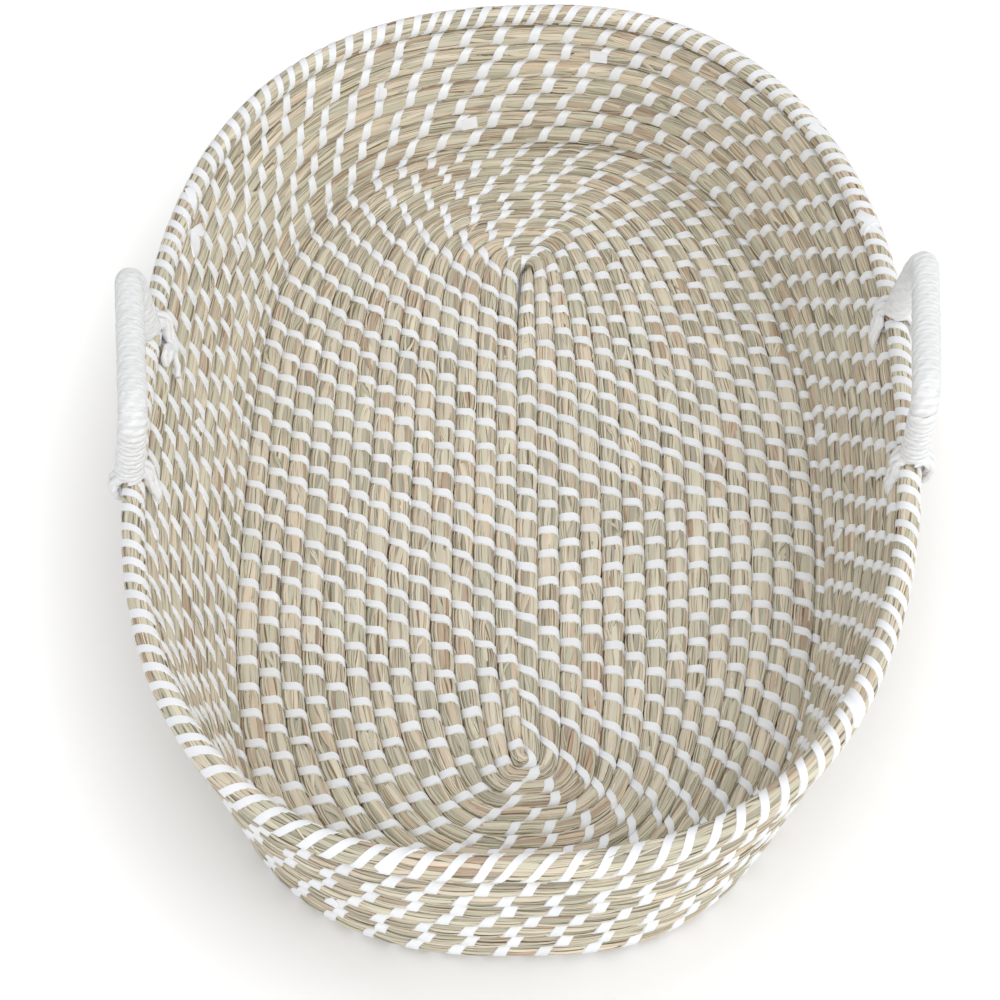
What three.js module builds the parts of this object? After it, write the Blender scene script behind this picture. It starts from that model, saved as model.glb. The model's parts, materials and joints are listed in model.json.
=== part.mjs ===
// A coiled seagrass changing basket: one long bundle wound into an oval base and a flared wall,
// a rim bundle, and two cotton rope handles that flop about the rim.
// Millimetres. X runs across the basket, Y along it, Z up; the origin is on the floor at its middle.
import * as THREE from 'three';

// Rim, measured outside. Each corner of an oval has its squareness: 2 for an ellipse's, more for a boxier one.
const RIM_WIDTH = 458;
const RIM_LENGTH = 695;
const RIM_HEIGHT = 111;
const RIM_COIL_DIAMETER = 13.2;
const RIM_SQUARENESS = { farRight: 2.22, farLeft: 2.61, nearLeft: 2.57, nearRight: 2.5 };

// Flat base, out to the edge of its last loop, which reaches further at the near end by twice the shift.
// Skew makes the core's far left and near right corners boxier, and the other two as much rounder.
const BASE_WIDTH = 345;
const BASE_LENGTH = 636.3;
const BASE_SHIFT = -2.65;
const BASE_SQUARENESS = { farRight: 2.3, farLeft: 3.1, nearLeft: 3.1, nearRight: 2.3 };
const CORE_LENGTH = 396;
const CORE_SQUARENESS = 5;
const CORE_SKEW = 1.8;

// The wound bundle.
const BASE_LOOPS = 13;
const WALL_ROWS = 7;
const COIL_HEIGHT = 11.8;
const CORNER_LOOPS = 1.2;
const COIL_GAP = 0.55;
const START_TURNS = -0.225;
const TAIL_TURNS = 0.33;

// Handles: a rope core in a wound cotton cord, standing on the rim between two forked lashings. They lean
// outwards, each one further at its far leg than at its near one by twice the twist.
const HANDLE_SPAN = 116;
const HANDLE_RISE = 47;
const HANDLE_BEND = 15;
const LEFT_LEAN_DEGREES = -3;
const RIGHT_LEAN_DEGREES = 13;
const HANDLE_TWIST_DEGREES = 6;
const HANDLE_SHIFT = -13.5;
const ROPE_DIAMETER = 7.6;
const WRAP_ROOM = 0.75;
const WRAP_THICKNESS = 2.8;
const WRAP_TURNS = 22;
const WRAP_START = 9.5;
const WRAP_GAP = 0.5;
const LASHING_DIAMETER = 7.4;
const LASHING_START_DEGREES = 40;
const LASHING_INNER_ROWS = 1.5;
const LASHING_OUTER_ROWS = 1.2;
const LASHING_OUTER_HUG = 1.5;

// Room between pieces that rest on each other.
const SEAT_GAP = 0.35;

// Facets. The rim has twice the steps of a loop, so that the corners of the two line up.
const STEPS_PER_LOOP = 24;
const RIM_STEPS = 2 * STEPS_PER_LOOP;
const RIM_SIDES = 8;
const ROPE_SIDES = 8;
const ROPE_BEND_STEPS = 5;
const ROPE_FOOT_STEPS = 4;
const WRAP_STEPS_PER_TURN = 6;
const LASHING_ARC_STEPS = 6;

// Points on which the gaps between neighbouring turns are measured, and the step used for slopes.
const GAP_POINTS_PER_TURN = 720;
const GAP_STRIDE = 7;
const GAP_REACH = 6;
const SMALL_STEP = 1e-4;

const TURN = 2 * Math.PI;
const UP = new THREE.Vector3(0, 0, 1);
const ALONG = new THREE.Vector3(0, 1, 0);

const seagrass = () => new THREE.MeshStandardMaterial({ color: 0xc3b08a, roughness: 0.85, metalness: 0 });
const cotton = () => new THREE.MeshStandardMaterial({ color: 0xf3f2ef, roughness: 0.9, metalness: 0 });

// A closed solid through a row of rings with equally many points; a loop joins its last ring to its first.
function sweep(rings, isLoop = false) {
  const sides = rings[0].length;
  const spans = isLoop ? rings.length : rings.length - 1;
  const index = [];
  for (let i = 0; i < spans; i += 1) {
    const here = i * sides;
    const next = ((i + 1) % rings.length) * sides;
    for (let j = 0; j < sides; j += 1) {
      const k = (j + 1) % sides;
      index.push(here + j, next + j, next + k, here + j, next + k, here + k);
    }
  }
  if (!isLoop) {
    const last = (rings.length - 1) * sides;
    for (let j = 1; j + 1 < sides; j += 1) {
      index.push(0, j, j + 1, last, last + j + 1, last + j);
    }
  }
  const points = rings.flat();
  const volume = signedVolume(points, index);
  const geometry = new THREE.BufferGeometry();
  geometry.setAttribute('position', new THREE.Float32BufferAttribute(points.flatMap((p) => p.toArray()), 3));
  geometry.setIndex(volume > 0 ? index : index.reverse());
  geometry.computeVertexNormals();
  return geometry;
}

// Six times the volume inside the triangles, negative when they face inwards.
function signedVolume(points, index) {
  let sum = 0;
  for (let i = 0; i < index.length; i += 3) {
    const [a, b, c] = [points[index[i]], points[index[i + 1]], points[index[i + 2]]];
    sum += a.dot(new THREE.Vector3().crossVectors(b, c));
  }
  return sum;
}

function piece(name, geometry, material) {
  const mesh = new THREE.Mesh(geometry, material);
  mesh.name = name;
  return mesh;
}

// Point of an oval with half width a and half length b, at an angle from +X.
function oval(a, b, squareness, angle) {
  const c = Math.cos(angle);
  const s = Math.sin(angle);
  const x = Math.sign(c) * Math.abs(c) ** (2 / squareness);
  const y = Math.sign(s) * Math.abs(s) ** (2 / squareness);
  return new THREE.Vector3(a * x, b * y, 0);
}

// Squareness of an oval at an angle, shared out between its corners by how far the angle is to each side.
function squarenessAt(corners, angle) {
  const rightShare = (1 + Math.cos(angle)) / 2;
  const farShare = (1 + Math.sin(angle)) / 2;
  const near = THREE.MathUtils.lerp(corners.nearLeft, corners.nearRight, rightShare);
  const far = THREE.MathUtils.lerp(corners.farLeft, corners.farRight, rightShare);
  return THREE.MathUtils.lerp(near, far, farShare);
}

// The sheet that the bundle is wound on. Lane 0 is the straight core, lanes 1 to BASE_LOOPS lie flat,
// the next one turns up, and WALL_ROWS more climb to the rim.
const BASE_EDGE = BASE_LOOPS + 0.5;
const CORNER_LANE = BASE_LOOPS + 1;
const CORNER_START = CORNER_LANE - CORNER_LOOPS / 2;
const CORNER_END = CORNER_LANE + CORNER_LOOPS / 2;
const TOP_LANE = CORNER_LANE + WALL_ROWS + 0.5;
const LANE_ACROSS = BASE_WIDTH / 2 / BASE_EDGE;
const LANE_ALONG = (BASE_LENGTH - CORE_LENGTH) / 2 / BASE_EDGE;
const RIM_RADIUS = RIM_COIL_DIAMETER / 2;
const RIM_MIDDLE_HEIGHT = RIM_HEIGHT - RIM_RADIUS;
const COIL_MIDDLE_HEIGHT = COIL_HEIGHT / 2;

function baseOval(lane, angle) {
  const share = THREE.MathUtils.clamp(lane / BASE_EDGE, 0, 1);
  const atCore = CORE_SQUARENESS - CORE_SKEW * Math.sin(2 * angle);
  const squareness = THREE.MathUtils.lerp(squarenessAt(BASE_SQUARENESS, angle), atCore, (1 - share) ** 2);
  const point = oval(LANE_ACROSS * lane, CORE_LENGTH / 2 + LANE_ALONG * lane, squareness, angle);
  return point.setY(point.y + BASE_SHIFT * share);
}

function rimOval(angle) {
  const squareness = squarenessAt(RIM_SQUARENESS, angle);
  const middle = oval(RIM_WIDTH / 2 - RIM_RADIUS, RIM_LENGTH / 2 - RIM_RADIUS, squareness, angle);
  return middle.setZ(RIM_MIDDLE_HEIGHT);
}

// How many lanes of wall lie below a lane: none on the base, easing in over the corner.
function lanesClimbed(lane) {
  const into = THREE.MathUtils.clamp(lane - CORNER_START, 0, CORNER_LOOPS);
  return into ** 2 / (2 * CORNER_LOOPS) + Math.max(0, lane - CORNER_END);
}

// Step from one wall row to the next. The last row ends one seat gap below the rim bundle.
function wallStep(angle) {
  const foot = baseOval(CORNER_LANE, angle).setZ(COIL_MIDDLE_HEIGHT);
  const rise = rimOval(angle).sub(foot);
  const reach = rise.length() - RIM_RADIUS - SEAT_GAP;
  return rise.setLength(reach / (TOP_LANE - CORNER_LANE));
}

function sheetPoint(lane, angle) {
  const climbed = lanesClimbed(lane);
  const point = baseOval(lane - climbed, angle).setZ(COIL_MIDDLE_HEIGHT);
  return point.addScaledVector(wallStep(angle), climbed);
}

// How fast a point moves at the start of a small step.
function slope(pointAt) {
  return pointAt(SMALL_STEP).sub(pointAt(-SMALL_STEP)).divideScalar(2 * SMALL_STEP);
}

// Directions on the sheet: along the loop, across the lanes, and out of the sheet on the basket's inside.
function sheetFrame(lane, angle) {
  const along = slope((step) => sheetPoint(lane, angle + step)).normalize();
  const across = slope((step) => sheetPoint(lane + step, angle));
  const inward = new THREE.Vector3().crossVectors(across, along);
  return { laneWidth: inward.length(), inward: inward.normalize() };
}

// The bundle's lane after some turns from the middle of the right side. It moves out one lane while it
// rounds the near end and keeps its lane on the way back, so the two sides stay evenly filled.
function laneAfter(turns) {
  return turns + (1 - Math.cos(TURN * turns)) / 4;
}

// Six-sided section of the bundle: share of the half lane, and share of the half height. The underside is
// the flat that the basket stands on.
const COIL_SECTION = [[-1, 0], [-0.6, -1], [0.6, -1], [1, 0], [0.45, 1], [-0.45, 1]];

function coilRing(turns) {
  const angle = -TURN * turns;
  const lane = laneAfter(turns);
  const lower = lane - 0.5;
  const upper = Math.min(lane + 0.5, TOP_LANE);
  const middle = (lower + upper) / 2;
  const fullness = upper - lower;
  const halfLane = fullness / 2 - COIL_GAP / 2 / sheetFrame(middle, angle).laneWidth;
  return COIL_SECTION.map(([u, h]) => {
    const at = middle + u * halfLane;
    const lift = h * fullness * COIL_MIDDLE_HEIGHT;
    return sheetPoint(at, angle).addScaledVector(sheetFrame(at, angle).inward, lift);
  });
}

// Every loop has its facets' corners on the same rays, half a step off the axes so that the ends are flat.
const nearestRay = (turns) => (Math.round(turns * STEPS_PER_LOOP - 0.5) + 0.5) / STEPS_PER_LOOP;

function coilRings(fromRay, toRay, trimStart, trimEnd) {
  const count = Math.round((toRay - fromRay) * STEPS_PER_LOOP);
  const turns = Array.from({ length: count + 1 }, (_, i) => fromRay + i / STEPS_PER_LOOP);
  turns[0] += trimStart;
  turns[count] -= trimEnd;
  return turns.map(coilRing);
}

// Least distance between the corners of one turn and those of the next, measured on points along them.
function leastGap(fromTurn, toTurn, ringAt) {
  const first = Math.ceil(fromTurn * GAP_POINTS_PER_TURN);
  const last = (toTurn - 1) * GAP_POINTS_PER_TURN;
  let least = Infinity;
  for (let i = first; i <= last; i += GAP_STRIDE) {
    const ring = ringAt(i / GAP_POINTS_PER_TURN);
    for (let j = -GAP_REACH; j <= GAP_REACH; j += 1) {
      const next = ringAt((i + j) / GAP_POINTS_PER_TURN + 1);
      least = Math.min(least, ...ring.flatMap((a) => next.map((b) => a.distanceTo(b))));
    }
  }
  return least;
}

const basket = new THREE.Group();

// Base and wall are one bundle, parted by a seat gap where the flat base ends on the right side.
const COIL_START = nearestRay(START_TURNS);
const PARTING = nearestRay(BASE_LOOPS);
const WALL_END = nearestRay(CORNER_LANE + WALL_ROWS + TAIL_TURNS);
const bundlePoint = (turns) => sheetPoint(laneAfter(turns), -TURN * turns);
const LENGTH_PER_TURN = slope((step) => bundlePoint(PARTING + step)).length();
const HALF_SEAT = SEAT_GAP / 2 / LENGTH_PER_TURN;
basket.add(piece('base_coil', sweep(coilRings(COIL_START, PARTING, 0, HALF_SEAT)), seagrass()));
basket.add(piece('wall_coil', sweep(coilRings(PARTING, WALL_END, HALF_SEAT, 0)), seagrass()));
const COIL_LEAST_GAP = leastGap(COIL_START, WALL_END, coilRing);
console.log('least gap in the coil, mm:', COIL_LEAST_GAP.toFixed(2));

// Rim bundle, a closed ring that lies on the last row.
function rimRing(angle) {
  const along = slope((step) => rimOval(angle + step)).normalize();
  const outward = new THREE.Vector3().crossVectors(along, UP);
  return Array.from({ length: RIM_SIDES }, (_, j) => {
    const around = (TURN * j) / RIM_SIDES;
    const point = rimOval(angle).addScaledVector(outward, RIM_RADIUS * Math.cos(around));
    return point.addScaledVector(UP, RIM_RADIUS * Math.sin(around));
  });
}
const rimAngles = Array.from({ length: RIM_STEPS }, (_, i) => (TURN * i) / RIM_STEPS);
basket.add(piece('rim_coil', sweep(rimAngles.map(rimRing), true), seagrass()));

// Where a faceted loop on one side crosses a place along the basket, as x outwards and y up.
function facetAt(pointAt, steps, firstRay, y, side) {
  const angles = Array.from({ length: steps }, (_, i) => (TURN * (i + firstRay)) / steps);
  const points = angles.map(pointAt).filter((point) => side * point.x > 0).sort((a, b) => a.y - b.y);
  const i = points.findIndex((point) => point.y > y);
  const share = (y - points[i - 1].y) / (points[i].y - points[i - 1].y);
  const crossing = points[i - 1].clone().lerp(points[i], share);
  return new THREE.Vector2(side * crossing.x, crossing.z);
}
const rimFacetAt = (y, side) => facetAt(rimOval, RIM_STEPS, 0, y, side);

// Handle arch: two legs, two quarter bends and a straight grip, by distance along it. It starts at the
// near foot; y runs along the basket from the arch's middle and h up the leaning plane from its feet.
const ROPE_RADIUS = ROPE_DIAMETER / 2;
const LEG = HANDLE_RISE - HANDLE_BEND;
const QUARTER = (HANDLE_BEND * TURN) / 4;
const GRIP = HANDLE_SPAN - 2 * HANDLE_BEND;
const ARCH_LENGTH = 2 * LEG + 2 * QUARTER + GRIP;

function archAt(distance) {
  const isFirstHalf = distance <= ARCH_LENGTH / 2;
  const d = isFirstHalf ? distance : ARCH_LENGTH - distance;
  const turned = THREE.MathUtils.clamp((d - LEG) / HANDLE_BEND, 0, TURN / 4);
  const y = -HANDLE_SPAN / 2 + HANDLE_BEND * (1 - Math.cos(turned)) + Math.max(0, d - LEG - QUARTER);
  const h = Math.min(d, LEG) + HANDLE_BEND * Math.sin(turned);
  const mirror = isFirstHalf ? 1 : -1;
  return { y: mirror * y, h, outY: -mirror * Math.cos(turned), outH: Math.sin(turned) };
}

// A point at some distance along the arch, angle about it and radius from it, before the lean:
// x is out of the arch's plane.
function aboutArch(distance, angle, radius) {
  const { y, h, outY, outH } = archAt(distance);
  const r = radius * Math.cos(angle);
  return new THREE.Vector3(radius * Math.sin(angle), y + r * outY, h + r * outH);
}

// Rope core, rounded at both feet about the line that the handle turns on.
function ropeRings() {
  const foot = Array.from({ length: ROPE_FOOT_STEPS }, (_, i) => {
    const angle = (TURN / 4) * ((i + 1) / ROPE_FOOT_STEPS);
    return [-ROPE_RADIUS * Math.cos(angle), ROPE_RADIUS * Math.sin(angle)];
  });
  const bend = Array.from({ length: ROPE_BEND_STEPS + 1 }, (_, i) => (
    [LEG + (QUARTER * i) / ROPE_BEND_STEPS, ROPE_RADIUS]
  ));
  const nearHalf = [...foot, ...bend];
  const farHalf = nearHalf.map(([distance, radius]) => [ARCH_LENGTH - distance, radius]).reverse();
  return [...nearHalf, ...farHalf].map(([distance, radius]) => (
    Array.from({ length: ROPE_SIDES }, (_, j) => aboutArch(distance, (TURN * j) / ROPE_SIDES, radius))
  ));
}

// Wound cord: its five-sided section is a share of the half width along the arch and of the thickness.
const WRAP_SECTION = [[-1, 0], [1, 0], [1, 0.55], [0, 1], [-1, 0.55]];
const WRAP_INSIDE = (ROPE_RADIUS + WRAP_ROOM) / Math.cos(Math.PI / WRAP_STEPS_PER_TURN);
const WRAP_OUTSIDE = WRAP_INSIDE + WRAP_THICKNESS;
const WRAP_PITCH = (ARCH_LENGTH - 2 * WRAP_START) / (WRAP_TURNS + 1);
const WRAP_HALF_WIDTH = (WRAP_PITCH - WRAP_GAP / (1 - WRAP_OUTSIDE / HANDLE_BEND)) / 2;

function wrapRing(turns) {
  const middle = WRAP_START + WRAP_PITCH * (turns + 0.5);
  return WRAP_SECTION.map(([along, out]) => (
    aboutArch(middle + along * WRAP_HALF_WIDTH, TURN * turns, WRAP_INSIDE + out * WRAP_THICKNESS)
  ));
}

function wrapRings() {
  const steps = WRAP_TURNS * WRAP_STEPS_PER_TURN;
  return Array.from({ length: steps + 1 }, (_, i) => wrapRing(i / WRAP_STEPS_PER_TURN));
}
const WRAP_LEAST_GAP = leastGap(0, WRAP_TURNS, wrapRing);
console.log('least gap in a handle wrap, mm:', WRAP_LEAST_GAP.toFixed(2));

// Rings of a handle, leaning outwards about the line through its feet.
function leaned(rings, side, leanDegrees) {
  return rings.map((ring) => ring.map((point) => {
    const degrees = leanDegrees + (HANDLE_TWIST_DEGREES * point.y) / (HANDLE_SPAN / 2);
    return point.applyAxisAngle(ALONG, side * THREE.MathUtils.degToRad(degrees));
  }));
}

// Lashing: a yarn bundle that hugs the rim from beside the handle's foot, then lies along the wall.
// Its route is in the upright plane across the rim: x outwards and y up. An inner one leaves the rim when
// it is level with it, an outer one past that, by a share of the wall's lean.
const LASHING_RADIUS = LASHING_DIAMETER / 2;
const HUG_RADIUS = RIM_RADIUS + SEAT_GAP + LASHING_RADIUS;
const WALL_OFFSET = COIL_MIDDLE_HEIGHT + 2 * SEAT_GAP + LASHING_RADIUS;

function lashingRoute(isInner, footY, side) {
  const out = isInner ? -1 : 1;
  const rim = rimFacetAt(footY, side);
  const endLane = TOP_LANE - (isInner ? LASHING_INNER_ROWS : LASHING_OUTER_ROWS);
  const wall = facetAt((angle) => sheetPoint(endLane, angle), STEPS_PER_LOOP, 0.5, footY, side);
  const upWall = new THREE.Vector2().subVectors(rim, wall).normalize();
  const wallLean = Math.atan2(upWall.x, upWall.y);
  const start = THREE.MathUtils.degToRad(LASHING_START_DEGREES);
  const end = TURN / 4 + (isInner ? 0 : LASHING_OUTER_HUG * wallLean);
  const route = Array.from({ length: LASHING_ARC_STEPS + 1 }, (_, i) => {
    const angle = THREE.MathUtils.lerp(start, end, i / LASHING_ARC_STEPS);
    const fromRim = new THREE.Vector2(out * Math.sin(angle), Math.cos(angle));
    return rim.clone().addScaledVector(fromRim, HUG_RADIUS);
  });
  const outOfWall = new THREE.Vector2(upWall.y, -upWall.x);
  route.push(wall.addScaledVector(outOfWall, out * WALL_OFFSET));
  return route;
}

function lashingGeometry(isInner, footY, side) {
  const route = lashingRoute(isInner, footY, side);
  return sweep(route.map((point, i) => {
    const before = route[Math.max(0, i - 1)];
    const after = route[Math.min(route.length - 1, i + 1)];
    const along = new THREE.Vector2().subVectors(after, before).normalize();
    return Array.from({ length: ROPE_SIDES }, (_, j) => {
      const around = (TURN * j) / ROPE_SIDES;
      const inPlane = LASHING_RADIUS * Math.cos(around);
      const x = side * (point.x - along.y * inPlane);
      return new THREE.Vector3(x, footY + LASHING_RADIUS * Math.sin(around), point.y + along.x * inPlane);
    });
  }));
}

// Each handle turns on the line through its two feet, one rope radius and a seat gap above the rim.
const HANDLE_AXIS_HEIGHT = RIM_HEIGHT + SEAT_GAP + ROPE_RADIUS;

const SIDES = [['left', -1, LEFT_LEAN_DEGREES], ['right', 1, RIGHT_LEAN_DEGREES]];
for (const [sideName, side, leanDegrees] of SIDES) {
  const pivot = new THREE.Group();
  pivot.position.set(side * rimFacetAt(HANDLE_SHIFT, side).x, HANDLE_SHIFT, HANDLE_AXIS_HEIGHT);
  console.log(`${sideName} handle hinge x, z, mm:`, pivot.position.x.toFixed(2), HANDLE_AXIS_HEIGHT.toFixed(2));
  for (const [layer, rings] of [['rope', ropeRings()], ['wrap', wrapRings()]]) {
    pivot.add(piece(`${sideName}_handle_${layer}`, sweep(leaned(rings, side, leanDegrees)), cotton()));
  }
  basket.add(pivot);
  for (const [endName, end] of [['near', -1], ['far', 1]]) {
    const footY = HANDLE_SHIFT + (end * HANDLE_SPAN) / 2;
    for (const layer of ['inner', 'outer']) {
      const geometry = lashingGeometry(layer === 'inner', footY, side);
      basket.add(piece(`${sideName}_${endName}_${layer}_lashing`, geometry, cotton()));
    }
  }
}

export default basket;
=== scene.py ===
"""Looks of a coiled seagrass changing basket with two cord-wrapped rope handles.

Metres. X runs across the basket, Y along it away from the viewer, Z up; the origin is on the floor at its
middle. The bundle is wound clockwise, seen from above.
"""

import json
import logging
import math
from abc import ABC, abstractmethod
from dataclasses import astuple, dataclass
from enum import Enum
from functools import cached_property

import bpy
import numpy as np
from mathutils import Matrix


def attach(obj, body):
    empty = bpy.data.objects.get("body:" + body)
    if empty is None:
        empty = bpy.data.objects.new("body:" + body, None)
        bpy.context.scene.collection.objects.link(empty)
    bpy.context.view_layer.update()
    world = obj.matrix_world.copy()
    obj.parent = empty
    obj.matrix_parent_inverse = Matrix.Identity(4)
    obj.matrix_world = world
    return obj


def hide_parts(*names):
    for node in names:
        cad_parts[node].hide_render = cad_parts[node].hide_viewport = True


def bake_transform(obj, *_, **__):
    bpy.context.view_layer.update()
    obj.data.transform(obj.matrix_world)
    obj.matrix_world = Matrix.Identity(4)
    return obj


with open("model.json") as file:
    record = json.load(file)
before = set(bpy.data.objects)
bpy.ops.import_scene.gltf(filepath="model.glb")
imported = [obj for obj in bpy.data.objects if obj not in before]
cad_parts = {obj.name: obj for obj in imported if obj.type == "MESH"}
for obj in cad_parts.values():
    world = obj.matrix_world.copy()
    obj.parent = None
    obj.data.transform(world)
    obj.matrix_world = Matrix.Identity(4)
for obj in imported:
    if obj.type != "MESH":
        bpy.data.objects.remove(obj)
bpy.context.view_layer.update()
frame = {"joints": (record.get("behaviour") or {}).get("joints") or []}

LOG = logging.getLogger("basket")
Material = bpy.types.Material
Object = bpy.types.Object
Array = np.ndarray
Pair = tuple[float, float]
Triple = tuple[float, float, float]
Floats = tuple[float, ...]
Stops = tuple[tuple[float, Triple], ...]
TURN = 2 * math.pi
STEPS_PER_SPAN = 20
UP = np.array([0.0, 0.0, 1.0])
AWAY = np.array([0.0, 1.0, 0.0])


class Side(Enum):
    """Which long side of the basket, as the sign of X there."""

    LEFT = -1
    RIGHT = 1


class End(Enum):
    """Which foot of a handle, as the sign of Y from the handle's middle."""

    NEAR = -1
    FAR = 1


class Layer(Enum):
    """Which side of the rim a fork of yarns goes down, as the sign of outwards."""

    INNER = -1
    OUTER = 1


class Face(Enum):
    """Which face of a bundle a stitch lies on, as turns about the bundle to the middle of that face."""

    INSIDE = 0.25
    OUTSIDE = 0.75


class Socket:
    """A node's output that takes part in Python arithmetic, where each operator adds a Math node."""

    def __init__(self, graph: "Graph", out: bpy.types.NodeSocket) -> None:
        """Keep the graph that the node is in and the node's output."""
        self.graph = graph
        self.out = out

    def maths(self, operation: str, *others: "Value") -> "Socket":
        """Add a Math node on this number and any others."""
        return self.graph.node("ShaderNodeMath", {"operation": operation}, dict(enumerate((self, *others))))

    def __add__(self, other: "Value") -> "Socket":
        """Sum."""
        return self.maths("ADD", other)

    def __sub__(self, other: "Value") -> "Socket":
        """Difference."""
        return self.maths("SUBTRACT", other)

    def __mul__(self, other: "Value") -> "Socket":
        """Product."""
        return self.maths("MULTIPLY", other)

    def __rsub__(self, other: float) -> "Socket":
        """Difference from a number."""
        return self * -1.0 + other

    def __abs__(self) -> "Socket":
        """Size without its sign."""
        return self.maths("ABSOLUTE")

    __radd__ = __add__
    __rmul__ = __mul__


Value = Socket | float
Input = Socket | float | Triple


class Graph:
    """The nodes of a material or of the world."""

    def __init__(self, tree: bpy.types.NodeTree) -> None:
        """Keep the tree that the nodes are in."""
        self.tree = tree

    def feed(self, target: bpy.types.NodeSocket, value: Input) -> None:
        """Link a socket to another one, or set it to a constant.

        Args:
            target: The input.
            value: The output to link it to, or the constant.
        """
        if isinstance(value, Socket):
            self.tree.links.new(value.out, target)
        else:
            target.default_value = value

    def node(self, kind: str, settings: dict | None = None, inputs: dict | None = None,
             output: int | str = 0) -> Socket:
        """Add a node.

        Args:
            kind: The node's type.
            settings: Properties to set first.
            inputs: Values or sockets, by the input's name or number.
            output: Name or number of the output to return.

        Returns:
            The chosen output.
        """
        made = self.tree.nodes.new(kind)
        for key, value in (settings or {}).items():
            setattr(made, key, value)
        for key, value in (inputs or {}).items():
            self.feed(made.inputs[key], value)
        return Socket(self, made.outputs[output])

    def ramp(self, place: Socket, stops: Stops) -> Socket:
        """A colour by a number's place between stops, which are in rising order.

        Args:
            place: The number.
            stops: Places from 0 to 1, and the colour at each.

        Returns:
            The colour.
        """
        colour = self.node("ShaderNodeValToRGB", inputs={"Fac": place})
        elements = colour.out.node.color_ramp.elements
        while len(elements) < len(stops):
            elements.new(1.0)
        for element, (position, shade) in zip(elements, stops):
            element.position = position
            element.color = (*shade, 1.0)
        return colour

    def attribute(self, name: str) -> Socket:
        """A number that the mesh carries at each point."""
        return self.node("ShaderNodeAttribute", {"attribute_name": name}, output="Fac")

    def here(self) -> Socket:
        """Place on the object."""
        return self.node("ShaderNodeTexCoord", output="Object")

    def is_seen(self) -> Socket:
        """1 for rays from the camera and 0 for others."""
        return self.node("ShaderNodeLightPath", output="Is Camera Ray")

    def noise(self, place: Socket, scale: float, detail: float = 2.0) -> Socket:
        """Smooth noise between 0 and 1 at a place."""
        return self.node("ShaderNodeTexNoise", inputs={"Vector": place, "Scale": scale, "Detail": detail})

    def grain(self, scales: Triple, detail: float = 2.0) -> Socket:
        """Noise on a strand, drawn out along it and different for each tint.

        Args:
            scales: How fast the noise changes across, along and with the tint.
            detail: Octaves of the noise.

        Returns:
            A number between 0 and 1.
        """
        names = ("across", "along", "tint")
        parts = [self.attribute(name) * scale for name, scale in zip(names, scales)]
        return self.noise(self.node("ShaderNodeCombineXYZ", inputs=dict(enumerate(parts))), 1.0, detail)

    def remap(self, value: Socket, low: float, high: float, at_low: float, at_high: float) -> Socket:
        """A number that runs from one value to another while its source runs from low to high."""
        names = ("Value", "From Min", "From Max", "To Min", "To Max")
        return self.node("ShaderNodeMapRange", inputs=dict(zip(names, (value, low, high, at_low, at_high))))

    def scaled(self, colour: Input, by: Value) -> Socket:
        """A colour made darker or lighter by a number."""
        return self.node("ShaderNodeVectorMath", {"operation": "SCALE"}, {0: colour, "Scale": by})

    def product(self, first: Input, second: Input) -> Socket:
        """Two colours or vectors multiplied channel by channel."""
        return self.node("ShaderNodeVectorMath", {"operation": "MULTIPLY"}, {0: first, 1: second})

    def bump(self, height: Socket, distance: float) -> Socket:
        """A normal from a height between 0 and 1 that stands for a distance."""
        return self.node("ShaderNodeBump", inputs={"Height": height, "Distance": distance, "Strength": 1.0},
                         output="Normal")


class SurfaceGraph(Graph):
    """The nodes of one material, which ends in a Principled shader."""

    def __init__(self, name: str) -> None:
        """Make an empty material with a shader and an output.

        Args:
            name: Name of the material.
        """
        self.material = bpy.data.materials.new(name)
        self.material.use_nodes = True
        super().__init__(self.material.node_tree)
        self.tree.nodes.clear()
        self.shader = self.tree.nodes.new("ShaderNodeBsdfPrincipled")
        output = self.tree.nodes.new("ShaderNodeOutputMaterial")
        self.tree.links.new(self.shader.outputs[0], output.inputs["Surface"])

    def surface(self, **inputs: Input) -> Material:
        """Set the shader's inputs.

        Args:
            inputs: Values or sockets by the input's name, with underscores for spaces.

        Returns:
            The material.
        """
        for key, value in inputs.items():
            self.feed(self.shader.inputs[key.replace("_", " ")], value)
        return self.material


@dataclass(frozen=True)
class Finish(ABC):
    """A material that has the name of its slot."""

    name: str

    @cached_property
    def material(self) -> Material:
        """The material, made once."""
        return self.paint(SurfaceGraph(self.name))

    @abstractmethod
    def paint(self, graph: SurfaceGraph) -> Material:
        """Set up the material's nodes."""


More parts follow.
